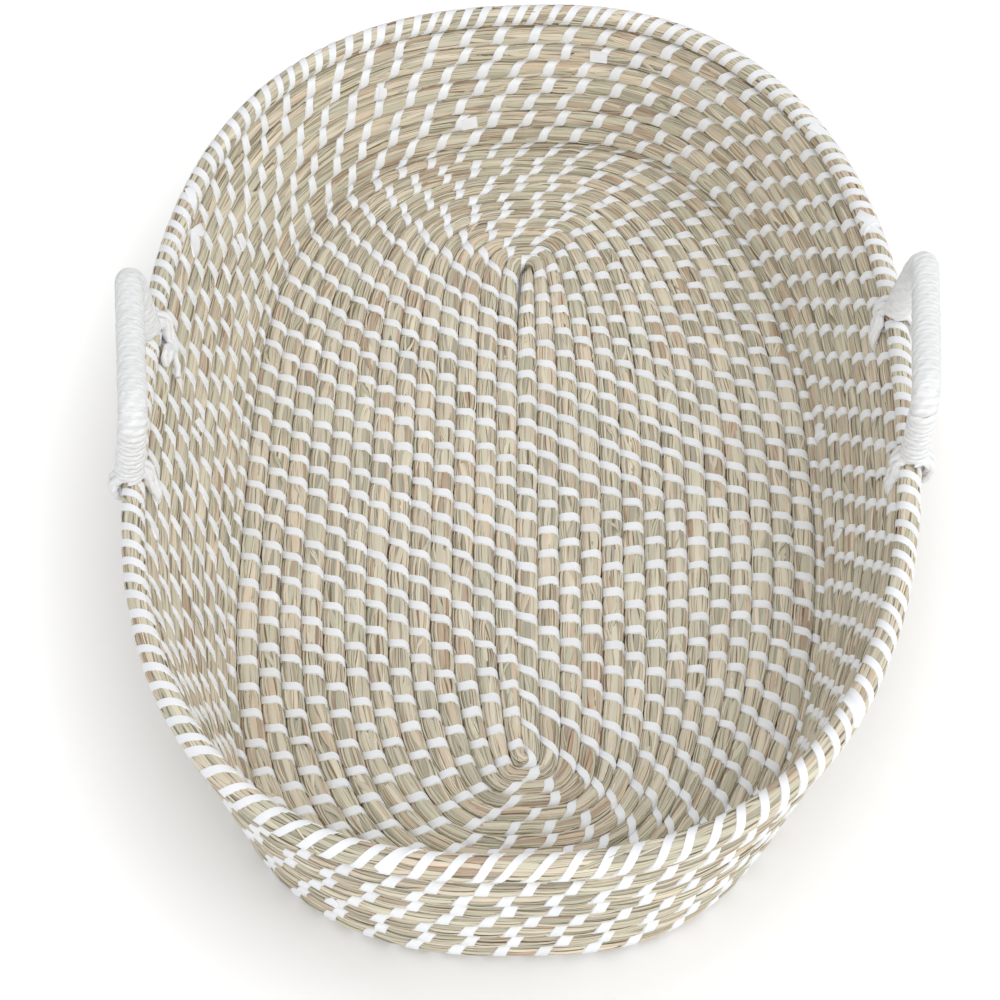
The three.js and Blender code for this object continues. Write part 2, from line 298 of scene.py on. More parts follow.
@dataclass(frozen=True)
class SeagrassFinish(Finish):
    """Dry seagrass stems, each of one colour from sage through straw to tan, with thin dark lines."""

    name: str = "seagrass"
    stems: Stops = (
        (0.00, (0.565, 0.530, 0.402)),
        (0.25, (0.655, 0.622, 0.477)),
        (0.50, (0.745, 0.683, 0.540)),
        (0.68, (0.787, 0.693, 0.543)),
        (0.85, (0.697, 0.567, 0.423)),
        (1.00, (0.540, 0.403, 0.293)),
    )
    lines: Stops = ((0.34, (0.36, 0.28, 0.20)), (0.43, (1.0, 1.0, 1.0)))
    streaks: Triple = (4.5, 13.0, 37.0)
    blotches: Triple = (1.0, 45.0, 11.0)
    unevenness: float = 0.25
    # Stems are painted darker towards their edges, as shade where they sink under their neighbours; the
    # core gets the same painted shade.
    edges: Pair = (0.36, 0.50)
    edge_painted_shade: float = 0.66
    roughness: float = 0.58
    roughness_spread: float = 0.3
    specular: float = 0.35
    groove: float = 0.00022

    def paint(self, graph: SurfaceGraph) -> Material:
        """Colour by each stem's own tint and shade, browner on lines along it, darker at its edges as
        painted shade where stems meet.

        Args:
            graph: The material's nodes.

        Returns:
            The material.
        """
        streak = graph.grain(self.streaks)
        blotch = graph.grain(self.blotches)
        tint = graph.attribute("tint") + (streak - 0.5) * self.unevenness + (blotch - 0.5) * self.unevenness
        colour = graph.product(graph.ramp(tint, self.stems), graph.ramp(streak, self.lines))
        # Painted shade: darker towards each stem's edges.
        edge = graph.remap(abs(graph.attribute("across") - 0.5), *self.edges, 1.0, self.edge_painted_shade)
        return graph.surface(Base_Color=graph.scaled(colour, graph.attribute("shade") * edge),
                             Roughness=self.roughness + (streak - 0.5) * self.roughness_spread,
                             Normal=graph.bump(streak, self.groove), Specular_IOR_Level=self.specular)


@dataclass(frozen=True)
class StripFinish(Finish):
    """Flat white plastic strip with a satin face and faint lengthwise ribs."""

    name: str = "binding_strip"
    colour: Triple = (0.925, 0.942, 0.970)
    ribs: Triple = (9.0, 60.0, 29.0)
    darkest: float = 0.96
    rib_light: float = 0.08
    rib_height: float = 0.00008
    roughness: float = 0.42
    roughness_spread: float = 0.2

    def paint(self, graph: SurfaceGraph) -> Material:
        """White, slightly uneven in lightness from stitch to stitch, with ribs along the strip.

        Args:
            graph: The material's nodes.

        Returns:
            The material.
        """
        rib = graph.grain(self.ribs)
        lightness = graph.attribute("shade") * (self.darkest + rib * self.rib_light)
        return graph.surface(Base_Color=graph.scaled(self.colour, lightness),
                             Roughness=self.roughness + (rib - 0.5) * self.roughness_spread,
                             Normal=graph.bump(rib, self.rib_height))


@dataclass(frozen=True)
class CottonFinish(Finish):
    """White twisted cotton yarn, matt and a little fuzzy."""

    name: str = "cotton_cord"
    colour: Triple = (0.985, 0.992, 1.000)
    plies: Triple = (14.0, 420.0, 23.0)
    fibres_per_metre: float = 1400.0
    detail: float = 3.0
    darkest: float = 0.90
    ply_light: float = 0.10
    fibre_light: float = 0.09
    ply_share: float = 0.7
    fibre_share: float = 0.5
    fibre_height: float = 0.0004
    roughness: float = 0.92
    sheen: float = 0.5

    def paint(self, graph: SurfaceGraph) -> Material:
        """White with fine fibre noise in its colour and bump, and a soft sheen.

        Args:
            graph: The material's nodes.

        Returns:
            The material.
        """
        ply = graph.grain(self.plies, self.detail)
        fibre = graph.noise(graph.here(), self.fibres_per_metre, self.detail)
        lightness = self.darkest + ply * self.ply_light + fibre * self.fibre_light
        height = ply * self.ply_share + fibre * self.fibre_share
        return graph.surface(Base_Color=graph.scaled(self.colour, graph.attribute("shade") * lightness),
                             Roughness=self.roughness, Sheen_Weight=self.sheen,
                             Normal=graph.bump(height, self.fibre_height))


@dataclass(frozen=True)
class FloorFinish(Finish):
    """Plain white studio floor, whose glow grows from one oval about the basket to a wider one, so that the
    floor close about the basket stays darker as painted shadow.
    """

    name: str = "studio_floor"
    colour: Triple = (0.92, 0.92, 0.92)
    mottles_per_metre: float = 3.0
    darkest: float = 0.995
    mottle_light: float = 0.01
    half_width: float = 0.20
    half_length: float = 0.33
    painted_shadow_ovals: Pair = (1.1, 1.65)
    glows: Pair = (0.06, 0.42)
    roughness: float = 0.9
    specular: float = 0.1

    def paint(self, graph: SurfaceGraph) -> Material:
        """Matt white with faint mottling, lifted to paper white for the camera alone, and lifted least
        close about the basket as painted shadow.

        Args:
            graph: The material's nodes.

        Returns:
            The material.
        """
        mottle = graph.noise(graph.here(), self.mottles_per_metre)
        spread = graph.product(graph.here(), (1 / self.half_width, 1 / self.half_length, 0.0))
        away = graph.node("ShaderNodeVectorMath", {"operation": "LENGTH"}, {0: spread}, "Value")
        # Painted shadow: the camera's lift is least inside the inner oval about the basket.
        glow = graph.is_seen() * graph.remap(away, *self.painted_shadow_ovals, *self.glows)
        return graph.surface(
            Base_Color=graph.scaled(self.colour, self.darkest + mottle * self.mottle_light),
            Roughness=self.roughness, Specular_IOR_Level=self.specular,
            Emission_Strength=1.0, Emission_Color=graph.scaled((1.0, 1.0, 1.0), glow))


def linked(name: str, data: bpy.types.ID) -> Object:
    """A new object in the scene, at the origin.

    Args:
        name: Name of the object.
        data: Its mesh, lamp or camera.

    Returns:
        The object.
    """
    made = bpy.data.objects.new(name, data)
    bpy.context.scene.collection.objects.link(made)
    return made


@dataclass
class TubeBatch:
    """Closed tubes with equally many rings and corners, for one mesh.

    Attributes:
        rings: Points, of shape (tubes, rings, corners, 3).
        across: Place across a strand, for the material; it and the next three fit (tubes, rings, corners).
        along: Place along the strand.
        tint: Which of its finish's colours the strand has, from 0 to 1.
        shade: Lightness of that colour.
        is_loop: Whether each tube joins its last ring to its first.
        sharp_degrees: Angle between faces from which an edge is sharp, or 0 for none.
    """

    rings: Array
    across: Array
    along: Array
    tint: Array | float
    shade: Array | float
    is_loop: bool = False
    sharp_degrees: float = 0.0

    def faces(self) -> tuple[Array, Array]:
        """Point numbers of the side quads, and of the caps at both ends of each tube.

        All are turned round where the volume that the quads enclose comes out negative.

        Returns:
            Quads of shape (n, 4) and caps of shape (m, corners), facing outwards.
        """
        tubes, rings, corners = self.rings.shape[:3]
        number = np.arange(tubes * rings * corners).reshape(tubes, rings, corners)
        here = number if self.is_loop else number[:, :-1]
        after = np.roll(number, -1, axis=1) if self.is_loop else number[:, 1:]
        ring = [here, after, np.roll(after, -1, axis=2), np.roll(here, -1, axis=2)]
        quads = np.stack(ring, axis=-1).reshape(-1, 4)
        caps = np.concatenate([number[:, 0], number[:, -1, ::-1]])
        if self.is_loop:
            caps = caps[:0]
        a, b, c, d = (self.rings.reshape(-1, 3)[quads[:, i]] for i in range(4))
        volume = np.einsum("ij,ij->", a, np.cross(b, c) + np.cross(c, d))
        if volume < 0:
            return quads[:, ::-1], caps[:, ::-1]
        return quads, caps

    def to_piece(self, name: str, finish: Finish, stands_for: str = "") -> Object:
        """Make the mesh, link its object, at the origin, into the scene, and report it.

        Args:
            name: Name of the piece.
            finish: Its finish, which also names its slot.
            stands_for: The CAD node that it replaces, if any.

        Returns:
            The new object, not yet on a body.
        """
        points = self.rings.reshape(-1, 3)
        quads, caps = self.faces()
        corners = np.concatenate([quads.ravel(), caps.ravel()])
        cap_starts = quads.size + caps.shape[1] * np.arange(len(caps))
        starts = np.concatenate([4 * np.arange(len(quads)), cap_starts])
        mesh = bpy.data.meshes.new(name)
        mesh.vertices.add(len(points))
        mesh.vertices.foreach_set("co", points.astype(np.float32).ravel())
        mesh.loops.add(len(corners))
        mesh.loops.foreach_set("vertex_index", corners.astype(np.int32))
        mesh.polygons.add(len(starts))
        mesh.polygons.foreach_set("loop_start", starts.astype(np.int32))
        mesh.update(calc_edges=True)
        mesh.shade_smooth()
        if self.sharp_degrees:
            mesh.set_sharp_from_angle(angle=math.radians(self.sharp_degrees))
        for key in ("across", "along", "tint", "shade"):
            spread = np.broadcast_to(getattr(self, key), self.rings.shape[:3]).astype(np.float32)
            mesh.attributes.new(key, "FLOAT", "POINT").data.foreach_set("value", spread.ravel())
        mesh.materials.append(finish.material)
        made = linked(name, mesh)
        finish.name
        if stands_for:
            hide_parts(stands_for)
        LOG.info("%s: %d faces", name, len(starts))
        return made


def unit(vectors: Array) -> Array:
    """Vectors along the last axis brought to length 1."""
    return vectors / np.maximum(np.linalg.norm(vectors, axis=-1, keepdims=True), 1e-12)


def signed_power(base: Array, exponent: Array) -> Array:
    """A power that keeps the sign of its base."""
    return np.sign(base) * np.abs(base) ** exponent


def round_angles(count: int) -> Array:
    """Angles that share a full turn out evenly."""
    return TURN * np.arange(count) / count


def running_length(points: Array) -> Array:
    """Length along a line up to each of its points."""
    return np.append(0.0, np.cumsum(np.linalg.norm(np.diff(points, axis=0), axis=1)))


def oval(half_width: Array, half_length: Array, squareness: Array, angle: Array) -> Array:
    """Points of a superellipse: X is the half width times the cosine to the power 2 over the squareness.

    Args:
        half_width: Reach along X.
        half_length: Reach along Y.
        squareness: 2 for an ellipse, more for a boxier oval.
        angle: Parameter, from +X towards +Y.

    Returns:
        Points at height 0.
    """
    x = half_width * signed_power(np.cos(angle), 2 / squareness)
    y = half_length * signed_power(np.sin(angle), 2 / squareness)
    return np.stack(np.broadcast_arrays(x, y, np.zeros_like(x * y)), axis=-1)


def across_line(line: Array, reference: Array) -> tuple[Array, Array]:
    """Two directions square to a line at each of its points, the first as near as can be to a reference.

    Args:
        line: Points of shape (n, 3).
        reference: The direction to be near.

    Returns:
        Both directions, of shape (n, 3).
    """
    along = unit(np.gradient(line, axis=0))
    beside = unit(reference - np.sum(reference * along, axis=1, keepdims=True) * along)
    return beside, np.cross(along, beside)


def smooth_line(points: Array, count: int) -> Array:
    """Points evenly along a Catmull-Rom curve: cubics through their ends, with slopes from neighbours.

    Args:
        points: The few points that the curve passes through.
        count: How many points to return.

    Returns:
        Points of shape (count, 3).
    """
    padded = np.concatenate([2 * points[:1] - points[1:2], points, 2 * points[-1:] - points[-2:-1]])
    place = np.linspace(0, len(points) - 1, STEPS_PER_SPAN * len(points))
    span = np.minimum(place.astype(int), len(points) - 2)
    t = (place - span)[:, None]
    a, b, c, d = (padded[span + i] for i in range(4))
    bend = (2 * a - 5 * b + 4 * c - d) * t ** 2 + (3 * b - a - 3 * c + d) * t ** 3
    dense = 0.5 * (2 * b + (c - a) * t + bend)
    run = running_length(dense)
    even = np.linspace(0, run[-1], count)
    return np.stack([np.interp(even, run, dense[:, i]) for i in range(3)], axis=1)


@dataclass(frozen=True)
class Corners:
    """The squareness of an oval at each of its corners."""

    far_right: float
    far_left: float
    near_left: float
    near_right: float

    def at(self, angle: Array) -> Array:
        """The squareness at an angle, shared out by how far right and how far away it points.

        Args:
            angle: The oval's parameter, from +X towards +Y.

        Returns:
            The squareness there.
        """
        right = (1 + np.cos(angle)) / 2
        far = (1 + np.sin(angle)) / 2
        near_end = self.near_left + (self.near_right - self.near_left) * right
        far_end = self.far_left + (self.far_right - self.far_left) * right
        return near_end + (far_end - near_end) * far


@dataclass(frozen=True)
class CoilSheet:
    """The surface that the bundle is wound on, by lane and angle.

    Lane 0 is the straight core, the lanes up to base_loops lie flat, the next one turns up, and wall_rows
    more climb to the rim.
    """

    rim_width: float = 0.458
    rim_length: float = 0.695
    rim_height: float = 0.111
    rim_radius: float = 0.0066
    rim_corners: Corners = Corners(2.22, 2.61, 2.57, 2.5)
    base_width: float = 0.345
    base_length: float = 0.6363
    base_shift: float = -0.00265
    base_corners: Corners = Corners(2.3, 3.1, 3.1, 2.3)
    core_length: float = 0.396
    core_squareness: float = 5.0
    core_skew: float = 1.8
    base_loops: int = 13
    wall_rows: int = 7
    coil_height: float = 0.0118
    corner_loops: float = 1.2
    seat_gap: float = 0.00035
    step: float = 1e-4

    @property
    def base_edge(self) -> float:
        """Lane of the flat base's edge."""
        return self.base_loops + 0.5

    @property
    def corner_lane(self) -> float:
        """Lane in the middle of the turn from base to wall."""
        return self.base_loops + 1.0

    @property
    def top_lane(self) -> float:
        """Lane of the wall's upper edge."""
        return self.corner_lane + self.wall_rows + 0.5

    @property
    def rim_level(self) -> float:
        """Height of the middle line of the rim bundle."""
        return self.rim_height - self.rim_radius

    def base_oval(self, lane: Array, angle: Array) -> Array:
        """Point of a flat loop, at half its height: an oval that grows and gets rounder with its lane.

        Its squareness goes from the core's, less a skew times the sine of twice the angle, to the base's
        with the square of the way to the edge.

        Args:
            lane: Loops from the straight core, with the wall's rows on top.
            angle: The oval's parameter, from +X towards +Y.

        Returns:
            Points.
        """
        share = np.clip(lane / self.base_edge, 0, 1)
        edge = self.base_corners.at(angle)
        core = self.core_squareness - self.core_skew * np.sin(2 * angle)
        across = self.base_width / 2 / self.base_edge
        along = (self.base_length - self.core_length) / 2 / self.base_edge
        squareness = edge + (core - edge) * (1 - share) ** 2
        flat = oval(across * lane, self.core_length / 2 + along * lane, squareness, angle)
        return flat + AWAY * (self.base_shift * share)[..., None] + UP * self.coil_height / 2

    def rim_oval(self, angle: Array) -> Array:
        """Point on the middle line of the rim bundle.

        Args:
            angle: The oval's parameter, from +X towards +Y.

        Returns:
            Points.
        """
        half_width = self.rim_width / 2 - self.rim_radius
        half_length = self.rim_length / 2 - self.rim_radius
        return oval(half_width, half_length, self.rim_corners.at(angle), angle) + UP * self.rim_level

    def climbed(self, lane: Array) -> Array:
        """Lanes of wall below a lane: a parabola over the corner, then one for one.

        Args:
            lane: Loops from the straight core, with the wall's rows on top.

        Returns:
            Rows of wall.
        """
        past = lane - self.corner_lane
        into = np.clip(past + self.corner_loops / 2, 0, self.corner_loops)
        return into ** 2 / (2 * self.corner_loops) + np.maximum(0, past - self.corner_loops / 2)

    def wall_step(self, angle: Array) -> Array:
        """Step from one wall row to the next, on the line from the corner to the rim.

        Args:
            angle: The oval's parameter, from +X towards +Y.

        Returns:
            Vectors.
        """
        rise = self.rim_oval(angle) - self.base_oval(np.full_like(angle, self.corner_lane), angle)
        length = np.linalg.norm(rise, axis=-1, keepdims=True)
        reach = length - self.rim_radius - self.seat_gap
        return rise / length * reach / (self.top_lane - self.corner_lane)

    def point(self, lane: Array, angle: Array) -> Array:
        """Point in the middle of the bundle's height: the flat oval plus the lanes climbed up the wall.

        Args:
            lane: Loops from the straight core, with the wall's rows on top.
            angle: The oval's parameter, from +X towards +Y.

        Returns:
            Points.
        """
        lane, angle = np.broadcast_arrays(lane, angle)
        climbed = self.climbed(lane)
        return self.base_oval(lane - climbed, angle) + self.wall_step(angle) * climbed[..., None]

    def inward(self, lane: Array, angle: Array) -> Array:
        """Unit normal on the basket's inside: across the lanes times along the loop, and up on the core.

        Args:
            lane: Loops from the straight core, with the wall's rows on top.
            angle: The oval's parameter, from +X towards +Y.

        Returns:
            Unit vectors.
        """
        along = self.point(lane, angle + self.step) - self.point(lane, angle - self.step)
        across = self.point(lane + self.step, angle) - self.point(lane - self.step, angle)
        normal = unit(np.cross(across, unit(along)))
        is_flat = np.linalg.norm(normal, axis=-1, keepdims=True) < 0.5
        return np.where(is_flat, UP, normal)


@dataclass
class Bundle(ABC):
    """A bundle of stems on a path, overcast by a strip that pinches it.

    Turns along the path count from the middle of the basket's right side, towards the near end. An angle
    about the bundle is 0 at its outer edge, a quarter turn on the basket's inside or top, and a half turn
    at its inner edge. A stitch runs ahead along the path as it crosses from the inner to the outer edge.
    """

    sheet: CoilSheet = CoilSheet()
    girth_radius: float = CoilSheet.rim_radius
    first_turn: float = 0.0
    last_turn: float = 1.0
    steps_per_quarter: int = 720
    quarter_ease: float = 1.3
    is_loop: bool = True
    pinch_depth: float = 0.05
    pinch_reach: float = 0.0048
    end_broadening: float = 0.0

    @property
    @abstractmethod
    def count_table(self) -> tuple[Array, Array]:
        """Places along the path, and the number of stitches made up to each."""

    @abstractmethod
    def middle(self, turns: Array) -> Array:
        """Point of the path after some turns."""

    @abstractmethod
    def lead(self, arc: Array) -> Array:
        """How far a stitch runs ahead for each half turn about the bundle."""

    @abstractmethod
    def crossing(self, around: Array) -> tuple[Array, Array]:
        """Half turns that a stitch is past its middle at an angle, and its number less a whole one."""

    @abstractmethod
    def surface(self, arc: Array, around: Array, swell: Array) -> Array:
        """Point at a length along the path, an angle about it, and a share of the full radius."""

    @cached_property
    def path_table(self) -> tuple[Array, Array]:
        """Turns, close together where an oval's parameter runs fast, and the path's length up to each.

        Returns:
            The turns and the lengths.
        """
        share = np.linspace(0, 1, self.steps_per_quarter, endpoint=False)
        eased = share ** self.quarter_ease
        eased = eased / (eased + (1 - share) ** self.quarter_ease)
        quarters = np.arange(math.floor(4 * self.first_turn), math.ceil(4 * self.last_turn))
        turns = ((quarters[:, None] + eased) / 4).ravel()
        turns = turns[(turns > self.first_turn) & (turns < self.last_turn)]
        turns = np.concatenate([[self.first_turn], turns, [self.last_turn]])
        return turns, running_length(self.middle(turns))

    @property
    def length(self) -> float:
        """Length of the path."""
        return float(self.path_table[1][-1])

    def settle(self, arc: Array) -> Array:
        """Bring a length along the path between its ends, or into its one round."""
        return np.mod(arc, self.length) if self.is_loop else np.clip(arc, 0.0, self.length)

    def turns_at(self, arc: Array) -> Array:
        """Turns made up to a length along the path."""
        turns, lengths = self.path_table
        return np.interp(self.settle(arc), lengths, turns)

    def arc_at(self, turns: Array) -> Array:
        """Length along the path after some turns."""
        return np.interp(turns, *self.path_table)

    def broadness(self, arc: Array) -> Array:
        """Times its usual width that the strip has: more on the wall, by the square of the angle's sine.

        Args:
            arc: Length along the path.

        Returns:
            A factor, 1 on the base.
        """
        turns = self.turns_at(arc)
        more = self.end_broadening * np.sin(TURN * turns) ** 2
        return 1 + np.where(turns < self.sheet.corner_lane, 0.0, more)

    def arc_of(self, count: Array) -> Array:
        """Length along the path at which a stitch is made."""
        arcs, counts = self.count_table
        return np.interp(count, counts, arcs)

    def arc_under(self, number: Array, around: Array) -> Array:
        """Length along the path at which a stitch of a whole number crosses an angle about the bundle.

        Args:
            number: The stitch.
            around: Angle about the bundle.

        Returns:
            Length along the path.
        """
        past, shift = self.crossing(around)
        arc = self.arc_of(number + shift)
        return arc + self.lead(arc) * past

    def pinch(self, arc: Array, around: Array) -> Array:
        """How far the strip draws the bundle in: a bell curve of the distance to the nearest stitch.

        Args:
            arc: Length along the path.
            around: Angle about the bundle.

        Returns:
            A share of the radius: none between stitches and the pinch depth under one.
        """
        arcs, counts = self.count_table
        past, shift = self.crossing(around)
        count = np.interp(self.settle(arc - self.lead(arc) * past), arcs, counts) + shift
        pitch = (arcs[-1] - arcs[0]) / (counts[-1] - counts[0])
        away = (count - np.round(count)) * pitch
        return self.pinch_depth * np.exp(-((away / self.pinch_reach) ** 2))


@dataclass
class CoilBundle(Bundle):
    """The long bundle of the base and the wall.

    Leads of its stitches are given for shares of a loop.
    """

    girth_radius: float = CoilSheet.coil_height / 2
    first_turn: float = -0.229
    last_turn: float = 21.49
    steps_per_quarter: int = 200
    quarter_ease: float = 2.5
    is_loop: bool = False
    pinch_depth: float = 0.15
    top_press: float = 0.035
    squareness: float = 3.3
    under_share: float = 0.91
    shares: Floats = (0.0, 0.25, 0.5, 0.75, 1.0)
    base_leads: Floats = (0.0062, 0.0100, 0.0088, 0.0110, 0.0062)
    wall_leads: Floats = (0.0066, 0.0100, 0.0135, 0.0110, 0.0066)
    base_pitch: float = 0.0198
    turn_pitch: float = 0.0212
    wall_pitch: float = 0.0236
    base_offset: float = 0.51
    wall_offset: float = 0.55
    side_half: float = 0.16
    side_places: int = 9
    end_broadening: float = 0.20

    @staticmethod
    def lane_after(turns: Array) -> Array:
        """Lane after some turns: it moves out round the near end and keeps its lane on the way back."""
        return turns + (1 - np.cos(TURN * turns)) / 4

    def middle(self, turns: Array) -> Array:
        """Point of the path after some turns."""
        return self.sheet.point(self.lane_after(turns), -TURN * turns)

    def lead(self, arc: Array) -> Array:
        """How far a stitch runs ahead for each half turn about the bundle, by its share of a loop.

        Args:
            arc: Length along the path.

        Returns:
            A length along the path.
        """
        turns = self.turns_at(arc)
        on_base, on_wall = (np.interp(np.mod(turns, 1), self.shares, leads)
                            for leads in (self.base_leads, self.wall_leads))
        return np.where(turns < self.sheet.corner_lane, on_base, on_wall)

    def crossing(self, around: Array) -> tuple[Array, Array]:
        """Half turns past the stitch's middle on that face; the outer face's lie between the inner's.

        Args:
            around: Angle about the bundle.

        Returns:
            The half turns, and the stitch's number less a whole one.
        """
        half_turns = np.mod(around, TURN) / math.pi
        is_inside = half_turns < 1
        return np.where(is_inside, 0.5, 1.5) - half_turns, np.where(is_inside, 0.0, 0.5)

    @cached_property
    def count_table(self) -> tuple[Array, Array]:
        """Stitches made up to places along the path.

        Along both sides they keep an even pitch in Y, each column a set share of a pitch off its neighbour.
        An end turn takes the number nearest to its length over its pitch that keeps those shares.

        Returns:
            Places along the path, and the number of stitches made up to each.
        """
        turns, lengths = self.path_table
        depth = self.middle(turns)[:, 1]
        run = np.linspace(-self.side_half, self.side_half, self.side_places)
        arcs, counts = [], []
        for half_turn in range(math.floor(2 * self.last_turn + 0.5)):
            lane = math.ceil(half_turn / 2)
            rows = max(0.0, lane - self.sheet.corner_lane)
            pitch, turn_pitch = (self.wall_pitch,) * 2 if rows else (self.base_pitch, self.turn_pitch)
            is_here = np.abs(turns - half_turn / 2) < 0.25
            heading = -1 if half_turn % 2 == 0 else 1
            arcs.append(np.interp(run, heading * depth[is_here], lengths[is_here]))
            offset = -self.base_offset * (lane - rows) - self.wall_offset * rows
            middle = offset
            if counts:
                middle = counts[-1][-1] + (arcs[-1][0] - arcs[-2][-1]) / turn_pitch + self.side_half / pitch
                middle = round(middle - offset) + offset
            counts.append(middle + run / pitch)
        before = counts[0][0] - arcs[0][0] / self.base_pitch
        after = counts[-1][-1] + (self.length - arcs[-1][-1]) / self.wall_pitch
        return np.concatenate([[0.0], *arcs, [self.length]]), np.concatenate([[before], *counts, [after]])

    def surface(self, arc: Array, around: Array, swell: Array) -> Array:
        """Point about the bundle: a boxed oval on the sheet, half a lane wide each way and flatter below.

        Under the rim the lane is cut short and pressed to it, so the bundle's tail runs out there.

        Args:
            arc: Length along the path.
            around: Angle about the bundle.
            swell: Share of the full radius.

        Returns:
            Points.
        """
        turns = self.turns_at(arc)
        lower = self.lane_after(turns) - 0.5
        fullness = np.minimum(lower + 1.0, self.sheet.top_lane + self.top_press) - lower
        sideways = signed_power(np.cos(around), 2 / self.squareness) * swell
        lift = signed_power(np.sin(around), 2 / self.squareness) * swell
        height = fullness * self.sheet.coil_height / 2 * np.where(lift < 0, self.under_share * lift, lift)
        lane, angle = np.broadcast_arrays(lower + fullness / 2 * (1 + sideways), -TURN * turns)
        return self.sheet.point(lane, angle) + self.sheet.inward(lane, angle) * height[..., None]


@dataclass
class RimBundle(Bundle):
    """The bundle that closes the wall, overcast all the way round.

    Pitches and leads of its overcast strip are given for shares of a turn.
    """

    near_swell: float = 0.12
    near_steepness: int = 4
    shares: Floats = (0.0, 0.125, 0.25, 0.375, 0.5, 0.75, 1.0)
    pitches: Floats = (0.0118, 0.0136, 0.0152, 0.0136, 0.0125, 0.0118, 0.0118)
    leads: Floats = (0.0105, 0.0130, 0.0165, 0.0135, 0.0120, 0.0105, 0.0105)

    def middle(self, turns: Array) -> Array:
        """Point of the path after some turns."""
        return self.sheet.rim_oval(-TURN * turns)

    def lead(self, arc: Array) -> Array:
        """How far a stitch runs ahead for each half turn about the bundle."""
        return np.interp(self.turns_at(arc), self.shares, self.leads)

    def crossing(self, around: Array) -> tuple[Array, Array]:
        """Half turns past the top, from a quarter turn below the outer edge; a wrap goes all round."""
        half_turns = np.mod(around + math.pi / 2, TURN) / math.pi - 0.5
        return 0.5 - half_turns, np.zeros_like(half_turns)

    def arc_of(self, count: Array) -> Array:
        """Length along the path at which a wrap is made, past the round's end for numbers past the last.

        Args:
            count: The wrap's number.

        Returns:
            Length along the path.
        """
        arcs, counts = self.count_table
        rounds = np.floor(count / counts[-1])
        return np.interp(count - rounds * counts[-1], counts, arcs) + rounds * self.length

    @cached_property
    def count_table(self) -> tuple[Array, Array]:
        """Wraps made up to each place: the length over the pitch there, stretched to a whole number.

        Returns:
            Places along the path, and the number of wraps made up to each.
        """
        turns, arcs = self.path_table
        pitch = np.interp(turns, self.shares, self.pitches)
        counts = np.append(0.0, np.cumsum(np.diff(arcs) * 2 / (pitch[1:] + pitch[:-1])))
        return arcs, counts * round(counts[-1]) / counts[-1]

    def surface(self, arc: Array, around: Array, swell: Array) -> Array:
        """Point on a circle about the path, in the upright plane square to it, fuller at the near end.

        Args:
            arc: Length along the path.
            around: Angle about the bundle.
            swell: Share of the full radius.

        Returns:
            Points.
        """
        angle = -TURN * self.turns_at(arc)
        along = self.sheet.rim_oval(angle + self.sheet.step) - self.sheet.rim_oval(angle - self.sheet.step)
        outward = np.cross(unit(along), UP)
        fuller = self.near_swell * np.maximum(0, -np.sin(angle)) ** self.near_steepness
        radius = self.girth_radius * (1 + fuller) * swell
        sideways = (radius * np.cos(around))[..., None] * outward
        return self.sheet.rim_oval(angle) + sideways + (radius * np.sin(around))[..., None] * UP


